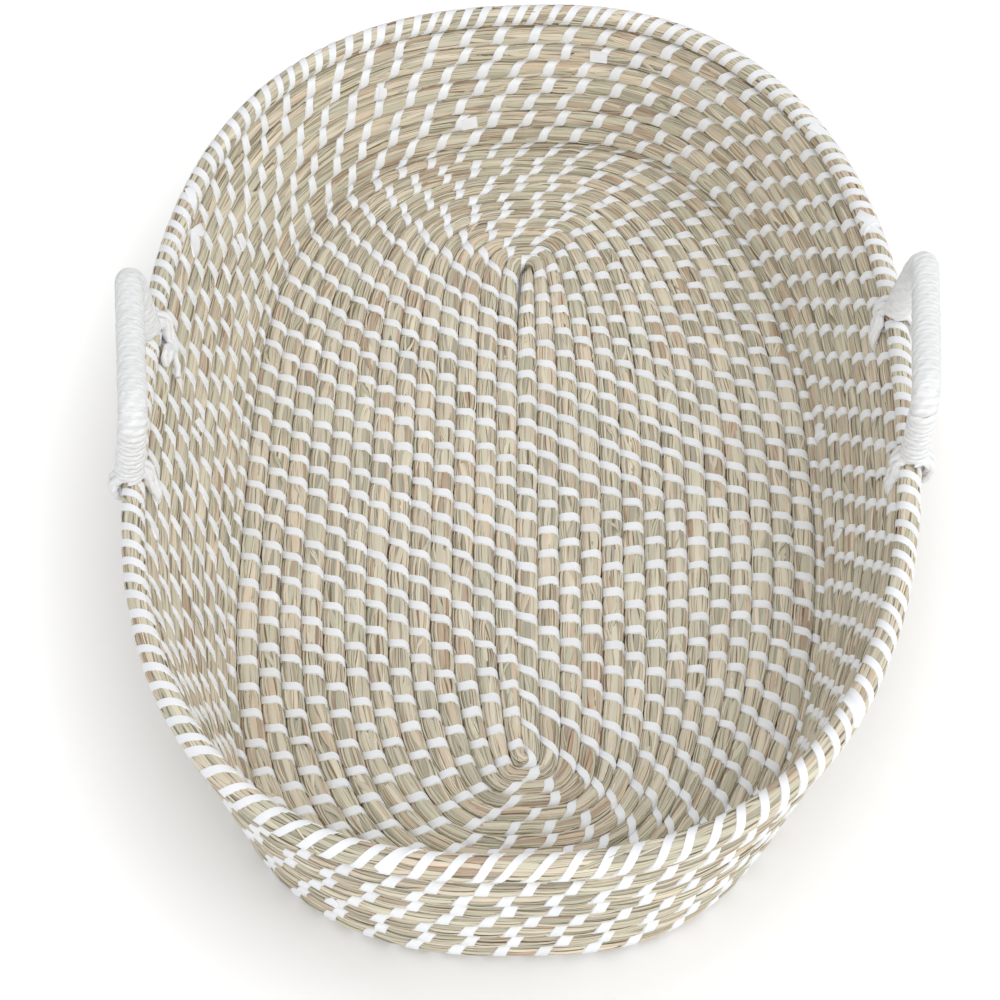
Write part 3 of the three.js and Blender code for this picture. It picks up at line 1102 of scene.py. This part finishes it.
@dataclass
class StemLayer:
    """Stems that show on a bundle: flat strips on tracks about it, each from one stitch to a later one.

    A few of them cross the others, narrower and on top.
    """

    bundle: Bundle
    tracks: Array
    seed: int
    most_stitches: int = 2
    shortest: float = 0.004
    narrowest: float = 0.0015
    widest: float = 0.0040
    width_bias: Pair = (1.2, 1.7)
    track_spread: float = 0.10
    drift: float = 0.20
    levels: Pair = (-0.0003, 0.00018)
    crossing_share: float = 0.13
    crossing_width: float = 0.6
    crossing_drift: float = 0.60
    crossing_level: float = 0.00025
    patch_length: float = 0.030
    patch_bias: Pair = (1.6, 1.9)
    patch_weight: float = 0.50
    tint: float = 0.52
    tint_spread: float = 0.23
    shade_spread: float = 0.07
    shades: Pair = (0.80, 1.14)
    rings: int = 9
    seat: float = 0.985
    crown: float = 0.00036
    edge_lift: float = 0.00014
    edge_sink: float = 0.0001
    end_sink: float = 0.0006
    end_width: float = 0.75
    end_bluntness: float = 0.3
    sharp_degrees: float = 60.0

    def stems(self) -> Array:
        """Lay the stems out at random.

        Returns:
            Rows with each stem's start, length, angle, drift, width, tilt, level, tint and shade.
        """
        rng = np.random.default_rng(self.seed)
        first, last = np.round(self.bundle.count_table[1][[0, -1]]).astype(int)
        spans = rng.integers(1, self.most_stitches + 1, (len(self.tracks), last - first))
        begun = first + np.cumsum(spans, axis=1) - spans
        angle = self.tracks[:, None] + rng.normal(0, self.track_spread, begun.shape)
        start = self.bundle.arc_under(begun, angle)
        length = self.bundle.arc_under(begun + spans, angle) - start
        kept = (begun < last) & (length > self.shortest)
        start, length, angle = start[kept], length[kept], angle[kept]
        count = len(start)
        patch = self.patch_weight * (self.patches(rng, start + length / 2) - 0.5)
        is_crossing = rng.uniform(0, 1, count) < self.crossing_share
        width = self.narrowest + (self.widest - self.narrowest) * rng.beta(*self.width_bias, count)
        width = width * np.where(is_crossing, self.crossing_width, 1.0)
        drift = rng.normal(0, 1, count) * np.where(is_crossing, self.crossing_drift, self.drift)
        tilt = rng.uniform(-1, 1, count)
        level = np.where(is_crossing, self.crossing_level, rng.uniform(*self.levels, count))
        tint = np.clip(self.tint + patch + rng.normal(0, self.tint_spread, count), 0, 1)
        shade = np.clip(rng.normal(1.0, self.shade_spread, count), *self.shades)
        return np.stack([start, length, angle, drift, width, tilt, level, tint, shade])

    def patches(self, rng: np.random.Generator, arc: Array) -> Array:
        """Slow change of colour along the bundle, from values drawn a patch length apart."""
        knots = np.arange(0, self.bundle.length + 2 * self.patch_length, self.patch_length)
        return np.interp(arc, knots, rng.beta(*self.patch_bias, len(knots)))

    def batches(self, cuts: Array) -> list[TubeBatch]:
        """Tubes along the stems, in one batch more than there are cuts.

        Args:
            cuts: Places along the bundle at which one batch ends and the next begins, in rising order.

        Returns:
            The batches, in the order of the bundle.
        """
        stems = self.stems()
        which = np.searchsorted(cuts, stems[0] + stems[1] / 2)
        return [self.batch(stems[:, which == i]) for i in range(len(cuts) + 1)]

    def batch(self, stems: Array) -> TubeBatch:
        """Three-cornered tubes along some of the stems, sunk at both ends and drawn in by the stitches.

        Args:
            stems: Columns of the table of stems.

        Returns:
            One tube for each stem.
        """
        start, length, angle, drift, width, tilt, level, tint, shade = stems[..., None, None]
        share = np.linspace(0, 1, self.rings)[:, None]
        corner = np.array([-1.0, 0.0, 1.0])
        arc = start + length * share
        full = np.sin(math.pi * share) ** self.end_bluntness
        radius = self.bundle.girth_radius
        taper = self.end_width + (1 - self.end_width) * full
        around = angle + drift * (share - 0.5) + corner * width / 2 / radius * taper
        lift = np.where(corner == 0, self.crown, self.edge_lift * corner * tilt - self.edge_sink)
        lift = lift + level - self.end_sink * (1 - full)
        rings = self.bundle.surface(arc, around, self.seat + lift / radius - self.bundle.pinch(arc, around))
        return TubeBatch(rings, (corner + 1) / 2, arc, tint, shade, sharp_degrees=self.sharp_degrees)


@dataclass
class BundleCore:
    """The inside of a bundle, seen between its stems, painted darker all over as the shade in the gaps
    between them.
    """

    bundle: Bundle
    stride: float = 0.0060
    corners: int = 12
    level: float = 0.94
    grain_per_radian: float = 1.4
    tint: float = 0.45

    def batch(self, first: float, last: float) -> TubeBatch:
        """A tube inside the stems, from one place along the bundle to another.

        Args:
            first: Where it begins.
            last: Where it ends.

        Returns:
            The one tube.
        """
        is_loop = self.bundle.is_loop
        count = math.ceil((last - first) / self.stride)
        arc = np.linspace(first, last, count, endpoint=not is_loop)[None, :, None]
        around = round_angles(self.corners)
        swell = self.level - self.bundle.pinch(arc, around)
        rings = self.bundle.surface(*np.broadcast_arrays(arc, around, swell))
        # across starts at 1.0, past the stems' edge span, so the seagrass finish gives the whole core its
        # painted edge shade.
        return TubeBatch(rings, 1.0 + around * self.grain_per_radian, arc, self.tint, 1.0, is_loop)


@dataclass(frozen=True)
class LooseEnd:
    """A strip's end that lies over the stitches: turns along the bundle, angle about it, run and sweep."""

    turns: float
    degrees: float
    run: float
    sweep_degrees: float
    width: float = 0.0060


@dataclass
class StripBands:
    """Flat four-cornered bands of the binding strip across a bundle."""

    bundle: Bundle
    seed: int
    width: float = 0.0062
    low: float = 0.88
    high: float = 1.055
    end_sink: float = 0.03
    end_steepness: int = 6
    rings: int = 12
    bevel: float = 0.86
    lead_spread: float = 0.13
    wander: float = 0.0008
    width_spread: float = 0.06
    shade_spread: float = 0.02
    over: float = 0.30
    rounding: float = 0.075
    grain_length: float = 0.02
    loose_lift: float = 0.08
    loose_steepness: int = 4
    loose_tint: float = 0.5
    loose_shade: float = 1.02
    sharp_degrees: float = 50.0

    @property
    def section(self) -> Array:
        """Half widths from a band's middle to its corners, and below them their shares of the radius."""
        return np.array([[-1, 1, self.bevel, -self.bevel], [self.low, self.low, self.high, self.high]])

    def stitches(self, face: Face, first: float, last: float) -> TubeBatch:
        """Bands from valley to valley for the stitches on one face between two places along the bundle.

        Args:
            face: Which face.
            first: Where the stitches begin along the bundle.
            last: Where they end.

        Returns:
            One tube for each stitch.
        """
        counts = self.bundle.count_table[1]
        numbers = np.arange(math.ceil(counts[0]), math.floor(counts[-1]))
        arc = self.bundle.arc_of(numbers + face.value - Face.INSIDE.value)
        arc = arc[(arc >= first) & (arc < last)]
        middle, reach = TURN * face.value, math.pi / 2 + self.over
        return self.batch(arc, middle + reach, middle - reach)

    def batch(self, arc: Array, begin: float, finish: float) -> TubeBatch:
        """Bands a little uneven in place, slant and width.

        A band's angle falls evenly from its begin to its finish while its place moves ahead by the bundle's
        lead for each half turn. Its corners are half a width behind and ahead, at a low and a high share of
        the radius, less at the diagonals of the section, so that a band is rounder than the bundle.

        Args:
            arc: Place of each band along the bundle, where it crosses the inside or top.
            begin: Angle at which the bands begin.
            finish: Angle at which they end.

        Returns:
            One tube for each band.
        """
        rng = np.random.default_rng(self.seed)
        count = len(arc)
        lead = (self.bundle.lead(arc) * rng.normal(1, self.lead_spread, count))[:, None, None]
        broad = self.width * self.bundle.broadness(arc)
        arc = (arc + rng.normal(0, self.wander, count))[:, None, None]
        width = (broad * rng.normal(1, self.width_spread, count))[:, None, None]
        share = np.linspace(0, 1, self.rings)[:, None]
        around = begin + (finish - begin) * share
        beside, swell = self.section
        place = arc + lead * (begin - finish) / math.pi * (share - 0.5) + beside * width / 2
        sink = self.end_sink * np.abs(2 * share - 1) ** self.end_steepness
        swell = swell - sink - self.rounding * np.sin(2 * around) ** 2
        rings = self.bundle.surface(*np.broadcast_arrays(place, around, swell))
        tint = rng.uniform(0, 1, count)[:, None, None]
        shade = rng.normal(1.0, self.shade_spread, count)[:, None, None]
        along = share * self.grain_length + arc
        return TubeBatch(rings, (beside + 1) / 2, along, tint, shade, sharp_degrees=self.sharp_degrees)

    def loose_ends(self, ends: tuple[LooseEnd, ...]) -> TubeBatch:
        """Bands, straight on the bundle's rolled-out face, that lie a little above the others.

        Args:
            ends: The strip's loose ends.

        Returns:
            One tube for each end.
        """
        table = np.array([astuple(end) for end in ends]).T[..., None, None]
        turns, degrees, run, sweep_degrees, width = table
        place = self.bundle.arc_at(turns)
        sweep = np.radians(sweep_degrees)
        radius = self.bundle.girth_radius
        share = np.linspace(-0.5, 0.5, self.rings)[:, None]
        beside, swell = self.section
        beside = beside * width / 2 / np.hypot(run, sweep * radius)
        arc = place + run * share - sweep * radius * beside
        around = np.radians(degrees) + sweep * share + run / radius * beside
        swell = swell + self.loose_lift - self.end_sink * np.abs(2 * share) ** self.loose_steepness
        rings = self.bundle.surface(*np.broadcast_arrays(arc, around, swell))
        across = np.array([0.0, 1.0, 0.9, 0.1])
        along = share * self.grain_length + place
        return TubeBatch(rings, across, along, self.loose_tint, self.loose_shade,
                         sharp_degrees=self.sharp_degrees)


@dataclass
class WovenBody:
    """Base, wall and rim: their bundles, the stems that show and the strip that binds them."""

    grass: Finish = SeagrassFinish()
    strip: Finish = StripFinish()
    inside_tracks: int = 12
    outside_tracks: int = 7
    rim_tracks: int = 16
    valley: float = 0.13
    parting_turn: float = 13.0208
    stem_pieces: tuple[tuple[str, float], ...] = (
        ("base_stems_heart", 6.0), ("base_stems_middle", 10.1), ("base_stems_edge", parting_turn),
        ("wall_stems_low", 15.6), ("wall_stems_middle", 18.4), ("wall_stems_high", math.inf))
    coil_ends: tuple[LooseEnd, ...] = (
        LooseEnd(19.778, 95, 0.0120, 5),
        LooseEnd(18.688, 100, 0.0040, -60),
        LooseEnd(15.730, 85, -0.0110, 15),
        LooseEnd(17.571, 95, 0.0060, -80),
        LooseEnd(14.986, 90, 0.0058, -56, 0.0080),
        LooseEnd(16.021, 95, 0.0050, -70),
        LooseEnd(17.503, 90, 0.0030, -52, 0.0066),
        LooseEnd(20.469, 100, 0.0070, -40),
        LooseEnd(14.490, 90, 0.0060, -60),
        LooseEnd(20.550, 95, 0.0150, -70, 0.0070),
        LooseEnd(20.556, 80, -0.0100, -50),
        LooseEnd(16.316, 270, 0.0070, -70),
    )
    rim_ends: tuple[LooseEnd, ...] = (
        LooseEnd(0.5650, 110, 0.0120, -60, 0.0065),
        LooseEnd(0.9014, 100, 0.0110, -30, 0.0065),
        LooseEnd(0.9480, 105, 0.0170, -70, 0.0062),
        LooseEnd(0.9500, 105, -0.0080, -120),
        LooseEnd(0.2804, 90, 0.0190, -170),
        LooseEnd(0.1161, 90, 0.0160, -170),
    )
    wrap_angles: Pair = (math.pi + 0.75, -1.15)

    def add(self, name: str, batch: TubeBatch, finish: Finish, stands_for: str = "") -> None:
        """Make a piece that rides on the basket."""
        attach(batch.to_piece(name, finish, stands_for), "basket")

    def coil_tracks(self) -> Array:
        """Angles of the stems about the coil: even over both faces, with none deep in the valleys.

        Returns:
            One angle for each track.
        """
        inside = np.linspace(self.valley, math.pi - self.valley, self.inside_tracks)
        outside = np.linspace(math.pi + self.valley, TURN - self.valley, self.outside_tracks)
        return np.concatenate([inside, outside])

    def build(self) -> None:
        """Make every piece of the woven body."""
        self.build_coil()
        self.build_rim()

    def build_coil(self) -> None:
        """Base and wall: cores, stems in a few pieces, and stitches on both faces."""
        coil = CoilBundle()
        parting = float(coil.arc_at(self.parting_turn))
        parts = (("base", 0.0, parting), ("wall", parting, coil.length))
        for part, first, last in parts:
            self.add(f"{part}_coil_core", BundleCore(coil).batch(first, last), self.grass, f"{part}_coil")
        names, ends = zip(*self.stem_pieces)
        layer = StemLayer(coil, self.coil_tracks(), seed=11)
        for name, batch in zip(names, layer.batches(coil.arc_at(np.array(ends[:-1])))):
            self.add(name, batch, self.grass)
        bands = StripBands(coil, seed=23)
        for part, first, last in parts:
            for face in Face:
                stitches = bands.stitches(face, first, last)
                self.add(f"{part}_stitches_{face.name.lower()}", stitches, self.strip)
        self.add("coil_loose_ends", bands.loose_ends(self.coil_ends), self.strip)

    def build_rim(self) -> None:
        """Rim: core, stems and the overcast strip."""
        rim = RimBundle()
        core = BundleCore(rim, level=0.90, corners=16)
        self.add("rim_core", core.batch(0.0, rim.length), self.grass, "rim_coil")
        layer = StemLayer(rim, round_angles(self.rim_tracks), seed=31, narrowest=0.0022, widest=0.0046,
                          crossing_share=0.06)
        self.add("rim_stems", layer.batches(np.array([]))[0], self.grass)
        bands = StripBands(rim, seed=41, high=1.04, rings=14, rounding=0.0)
        arc = rim.arc_of(np.arange(round(rim.count_table[1][-1])))
        self.add("rim_overcast", bands.batch(arc, *self.wrap_angles), self.strip)
        self.add("rim_loose_ends", bands.loose_ends(self.rim_ends), self.strip)


@dataclass(frozen=True)
class ForkPath:
    """How a fork's yarns leave a foot: round the rim by some degrees, then down the wall and into it.

    Attributes:
        layer: Which side of the rim it goes down.
        seed: Start of the random draws.
        degrees: Angles round the rim from its top.
        down: Lengths down the wall from the last of those angles.
        aside: Distances off the wall there, inwards.
        sway: How far the fork swings along the basket midway, and how far off it ends.
    """

    layer: Layer
    seed: int
    degrees: Floats
    down: Triple
    aside: Triple
    sway: Pair


@dataclass
class Handle:
    """One rope handle: an arch wound with cotton yarn, whose feet fork into yarns laid over the rim."""

    side: Side
    lean_degrees: float
    inner_sways: dict[End, Pair]
    loop: tuple[Triple, ...] = ()
    cotton: Finish = CottonFinish()
    sheet: CoilSheet = CoilSheet()
    span: float = 0.116
    rise: float = 0.047
    bend: float = 0.015
    twist_degrees: float = 6.0
    rope_radius: float = 0.0062
    rope_rings: int = 90
    overrun: float = 0.0020
    yarn_reach: float = 0.0069
    yarn_half_height: float = 0.0013
    yarn_half_width: float = 0.0021
    yarn_looseness: float = 0.00013
    yarn_slip: float = 0.00032
    yarn_per_turn: float = 0.04
    yarn_shade: float = 0.98
    # Painted shade: the yarn is darker in the hollows between its plies and lighter on their crowns.
    ply_painted_shade: float = 0.04
    wrap_turns: int = 57
    steps_per_turn: int = 40
    corners: int = 10
    ply_depth: float = 0.13
    plies_per_turn: float = 5.6
    fork_yarns: int = 5
    fork_yarn_radius: float = 0.0023
    fork_half_width: float = 0.0048
    fork_half_height: float = 0.0017
    fork_clearance: float = 0.0036
    fork_starts: tuple[Pair, ...] = ((0.0010, 0.0225), (0.0014, 0.0150))
    fork_length: float = 0.06
    fork_rings: int = 48
    fork_turns: float = 0.45
    fork_gather: float = 0.55
    fork_taper: float = 0.25
    fork_plies: float = 7.0
    fork_grain: float = 2.5
    wall_down: Pair = (-0.36, -0.93)
    bend_below: float = 0.003
    bend_above: float = 0.011

    @property
    def name(self) -> str:
        """Left or right."""
        return self.side.name.lower()

    @property
    def pivot(self) -> Array:
        """Middle of the line that the handle turns on."""
        joint = next(j for j in frame["joints"] if j["name"] == f"{self.name}_handle_flop")
        return np.array(joint["pos_m"])

    @property
    def leg(self) -> float:
        """Straight length of each leg."""
        return self.rise - self.bend

    @property
    def arch_length(self) -> float:
        """Length along the arch from foot to foot."""
        return 2 * self.leg + self.bend * math.pi + self.span - 2 * self.bend

    def about_arch(self, distance: Array, angle: Array, radius: Array) -> Array:
        """Point about the arch: two legs, two quarter bends and a straight grip, leaned out and twisted.

        Args:
            distance: Length along the arch from the near foot.
            angle: Angle about the arch, 0 on its outside.
            radius: Distance from the arch's middle line.

        Returns:
            Points in the basket's frame.
        """
        is_near = distance <= self.arch_length / 2
        d = np.where(is_near, distance, self.arch_length - distance)
        turned = np.clip((d - self.leg) / self.bend, 0, math.pi / 2)
        past_bend = np.maximum(0, d - self.leg - self.bend * math.pi / 2)
        y = -self.span / 2 + self.bend * (1 - np.cos(turned)) + past_bend
        h = np.minimum(d, self.leg) + self.bend * np.sin(turned)
        out = radius * np.cos(angle)
        y = np.where(is_near, 1, -1) * (y - out * np.cos(turned))
        h = h + out * np.sin(turned)
        x = radius * np.sin(angle)
        lean = self.side.value * np.radians(self.lean_degrees + self.twist_degrees * y / (self.span / 2))
        local = [x * np.cos(lean) + h * np.sin(lean), y, h * np.cos(lean) - x * np.sin(lean)]
        return self.pivot + np.stack(np.broadcast_arrays(*local), axis=-1)

    def rope(self) -> TubeBatch:
        """The core under the yarn, a plain tube from foot to foot.

        Returns:
            The one tube.
        """
        distance = np.linspace(-self.overrun, self.arch_length + self.overrun, self.rope_rings)
        distance = distance[None, :, None]
        angle = round_angles(self.corners)
        rings = self.about_arch(distance, angle, self.rope_radius)
        return TubeBatch(rings, angle, distance, tint=0.5, shade=0.95)

    def wrap(self, seed: int) -> TubeBatch:
        """Yarn wound round the rope: a helix whose section has two plies that turn along it.

        Args:
            seed: Start of the random draws.

        Returns:
            The one tube.
        """
        rng = np.random.default_rng(seed)
        count = self.wrap_turns * self.steps_per_turn
        turns = np.linspace(0, self.wrap_turns, count + 1)[None, :, None]
        knots = np.arange(self.wrap_turns + 2)
        loose = np.interp(turns, knots, rng.normal(0, self.yarn_looseness, len(knots)))
        slip = np.interp(turns, knots, rng.normal(0, self.yarn_slip, len(knots)))
        pitch = (self.arch_length + 2 * self.overrun) / self.wrap_turns
        beta = round_angles(self.corners)
        twist = TURN * self.plies_per_turn * turns
        plies = np.cos(2 * beta - twist)
        full = 1 + self.ply_depth * plies
        distance = pitch * turns - self.overrun + slip + self.yarn_half_width * full * np.sin(beta)
        radius = self.yarn_reach + loose + self.yarn_half_height * full * np.cos(beta)
        rings = self.about_arch(distance, TURN * turns, radius)
        # Painted shade in the hollows between the plies, lighter on their crowns.
        shade = self.yarn_shade + self.ply_painted_shade * plies
        return TubeBatch(rings, beta - twist / 2, turns * self.yarn_per_turn, tint=0.2, shade=shade)

    def fork_paths(self, end: End) -> tuple[ForkPath, ForkPath]:
        """The inner and the outer fork of a foot.

        Args:
            end: Which foot.

        Returns:
            Both paths.
        """
        inner = ForkPath(Layer.INNER, seed=62, degrees=(8, 30, 52, 74, 96), down=(0.005, 0.010, 0.0155),
                         aside=(0.0, 0.0006, 0.0052), sway=self.inner_sways[end])
        outer = ForkPath(Layer.OUTER, seed=61, degrees=(8, 32, 58, 84, 110), down=(0.004, 0.008, 0.013),
                         aside=(0.0, -0.0004, -0.0050), sway=(0.0, 0.003))
        return inner, outer

    def fork_route(self, end: End, path: ForkPath) -> Array:
        """Middle line of one fork: down from the foot, round the rim and onto the wall, where it goes in.

        Args:
            end: Which foot.
            path: Which fork.

        Returns:
            A few points in the basket's frame.
        """
        foot = self.pivot + AWAY * (end.value * self.span / 2)
        rim_middle = np.array([abs(foot[0]), self.sheet.rim_level])
        around = np.radians(path.degrees)
        hug = self.sheet.rim_radius + self.fork_clearance
        arc = rim_middle + hug * np.stack([path.layer.value * np.sin(around), np.cos(around)], axis=1)
        down = np.array(self.wall_down)
        inwards = np.array([-down[1], down[0]])
        tail = arc[-1] + np.outer(path.down, down) + np.outer(path.aside, inwards)
        start = rim_middle + np.array(self.fork_starts) * (path.layer.value, 1)
        line = np.concatenate([start, arc, tail])
        share = np.linspace(0, 1, len(line))
        sway, finish = path.sway
        shift = sway * np.sin(math.pi * share) ** 2 + finish * share ** 2
        return np.stack([self.side.value * line[:, 0], foot[1] + shift, line[:, 1]], axis=1)

    def fork(self, end: End, path: ForkPath) -> TubeBatch:
        """Yarns of one fork: tubes that wind about its middle line and draw together where they go in.

        Args:
            end: Which foot.
            path: Which fork.

        Returns:
            One tube for each yarn, and one for a loose loop.
        """
        rng = np.random.default_rng(path.seed + 2 * end.value)
        line = smooth_line(self.fork_route(end, path), self.fork_rings)
        beside, above = across_line(line, AWAY)
        share = np.linspace(0, 1, self.fork_rings)
        gather = 1 - self.fork_gather * share ** 3
        yarns = np.arange(self.fork_yarns)[:, None] / self.fork_yarns
        place = TURN * (yarns + self.fork_turns * share + rng.uniform(0, 1))
        wide = self.fork_half_width * gather * np.cos(place)
        high = self.fork_half_height * gather * np.sin(place)
        lines = line + wide[..., None] * beside + high[..., None] * above
        rings = self.yarn(lines, beside, above)
        if self.loop and path.layer is Layer.INNER and end is End.FAR:
            loop = smooth_line(np.array(self.loop), self.fork_rings)
            off_wall = np.array([-self.wall_down[1], 0.0, -self.wall_down[0]])
            rings = np.concatenate([rings, self.yarn(loop[None], *across_line(loop, off_wall))])
        share = share[:, None]
        across = round_angles(self.corners) - TURN * self.fork_grain * share
        tint = rng.uniform(0, 1, (len(rings), 1, 1))
        return TubeBatch(rings, across, share * self.fork_length, tint, shade=1.0)

    def yarn(self, lines: Array, beside: Array, above: Array) -> Array:
        """Rings of two-ply tubes along lines.

        Args:
            lines: Points of shape (yarns, rings, 3).
            beside: First direction across the lines, of shape (rings, 3).
            above: Second direction across them.

        Returns:
            Points of shape (yarns, rings, corners, 3).
        """
        share = np.linspace(0, 1, lines.shape[1])[:, None]
        beta = round_angles(self.corners)
        plies = 1 + self.ply_depth * np.cos(2 * beta - TURN * self.fork_plies * share)
        radius = self.fork_yarn_radius * (1 - self.fork_taper * share ** 3) * plies
        sideways = (radius * np.cos(beta))[..., None] * beside[:, None]
        upwards = (radius * np.sin(beta))[..., None] * above[:, None]
        return lines[:, :, None] + (sideways + upwards)

    def build(self) -> None:
        """Make the handle's rope, its yarn and the forks at its feet."""
        self.add(f"{self.name}_rope", self.rope(), f"{self.name}_handle_rope")
        self.add(f"{self.name}_wrap", self.wrap(seed=53 + self.side.value), f"{self.name}_handle_wrap")
        for end in End:
            for path in self.fork_paths(end):
                name = f"{self.name}_{end.name}_{path.layer.name}".lower()
                self.add(f"{name}_fork", self.fork(end, path), f"{name}_lashing")

    def add(self, name: str, batch: TubeBatch, stands_for: str) -> None:
        """Make a piece of the handle.

        Args:
            name: Name of the piece.
            batch: Its tubes.
            stands_for: The CAD node that it replaces.
        """
        foot = self.pivot
        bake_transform(batch.to_piece(name, self.cotton, stands_for), "basket", f"{self.name}_handle",
                 start=tuple(foot - UP * self.bend_below), end=tuple(foot + UP * self.bend_above))


def stand(name: str, data: bpy.types.ID, place: Array, back: Array, roll: float = 0.0) -> Object:
    """Stand a lamp or a camera in the scene.

    Args:
        name: Name of the object.
        data: The lamp or the camera.
        place: Where it stands.
        back: Unit direction that it looks away from.
        roll: Angle by which it is turned about that direction.

    Returns:
        The new object.
    """
    right = unit(np.cross(UP, back))
    up = np.cross(back, right)
    sine, cosine = math.sin(roll), math.cos(roll)
    axes = np.stack([cosine * right + sine * up, cosine * up - sine * right, back], axis=1)
    made = linked(name, data)
    made.matrix_world = Matrix.Translation(place) @ Matrix(axes.tolist()).to_4x4()
    return made


@dataclass(frozen=True)
class Lamp:
    """A square lamp that faces the basket."""

    name: str
    place: Triple
    size: float
    watts: float

    def build(self) -> None:
        """Make the lamp."""
        light = bpy.data.lights.new(self.name, "AREA")
        light.size = self.size
        light.energy = self.watts
        stand(self.name, light, self.place, unit(np.array(self.place)))


@dataclass
class Studio:
    """Floor, light and camera."""

    floor: Finish = FloorFinish()
    floor_half: float = 4.0
    lamps: tuple[Lamp, ...] = (
        Lamp("key", place=(1.5, -0.5, 1.9), size=2.0, watts=15.0),
        Lamp("front", place=(0.5, -2.2, 1.5), size=2.4, watts=16.5))
    sky: Pair = (0.86, 0.555)
    elevation: float = math.radians(48)
    azimuth: float = math.radians(3.3526)
    roll: float = math.radians(-3.8099)
    distance: float = 1.8103
    target: Triple = (-0.01690, 0.00423, 0.0)
    lens: float = 106.55
    clip_start: float = 0.05

    def build(self) -> None:
        """Make the floor, a soft key from the right, a wider light in front, the world and the camera."""
        self.build_floor()
        for lamp in self.lamps:
            lamp.build()
        self.build_world()
        self.build_camera()
        bpy.context.scene.view_settings.view_transform = "Standard"

    def build_floor(self) -> None:
        """One flat square under the basket."""
        half = self.floor_half
        mesh = bpy.data.meshes.new("floor")
        corners = [(-half, -half, 0), (half, -half, 0), (half, half, 0), (-half, half, 0)]
        mesh.from_pydata(corners, [], [(0, 1, 2, 3)])
        mesh.materials.append(self.floor.material)
        linked("floor", mesh)

    def build_world(self) -> None:
        """Even light from all round, dimmer from behind the basket, that looks white to the camera."""
        world = bpy.data.worlds.new("studio")
        world.use_nodes = True
        bpy.context.scene.world = world
        graph = Graph(world.node_tree)
        background = graph.tree.nodes["Background"]
        background.inputs["Color"].default_value = (1.0, 1.0, 1.0, 1.0)
        direction = graph.node("ShaderNodeTexCoord", output="Generated")
        away = graph.node("ShaderNodeSeparateXYZ", inputs={0: direction}, output="Y")
        level = graph.remap(away, -1.0, 1.0, *self.sky)
        graph.feed(background.inputs["Strength"], level.maths("MAXIMUM", graph.is_seen()))

    def build_camera(self) -> None:
        """The camera looks down at the target from the near side, rolled a little."""
        level = math.cos(self.elevation)
        sideways, nearer = math.sin(self.azimuth) * level, -math.cos(self.azimuth) * level
        back = np.array([sideways, nearer, math.sin(self.elevation)])
        lens = bpy.data.cameras.new("camera")
        lens.lens = self.lens
        lens.clip_start = self.clip_start
        place = np.array(self.target) + self.distance * back
        bpy.context.scene.camera = stand("camera", lens, place, back, self.roll)


def main() -> None:
    """Build the studio, the woven body and both handles."""
    logging.basicConfig(level=logging.INFO, format="%(name)s %(message)s")
    Studio().build()
    WovenBody().build()
    cotton = CottonFinish()
    loop = ((-0.2090, 0.040, 0.1000), (-0.2118, 0.030, 0.0990), (-0.2122, 0.036, 0.1025),
            (-0.2110, 0.043, 0.1010), (-0.2085, 0.041, 0.0965), (-0.2060, 0.034, 0.0920),
            (-0.2055, 0.028, 0.0895))
    left_sways = {End.FAR: (0.011, 0.002), End.NEAR: (0.006, 0.002)}
    right_sways = {End.FAR: (0.008, -0.005), End.NEAR: (0.003, -0.007)}
    Handle(Side.LEFT, lean_degrees=-2.5, inner_sways=left_sways, loop=loop, cotton=cotton,
           twist_degrees=8.0, yarn_reach=0.0072).build()
    Handle(Side.RIGHT, lean_degrees=11.5, inner_sways=right_sways, cotton=cotton, rise=0.0455).build()


if __name__ == "__main__":
    main()
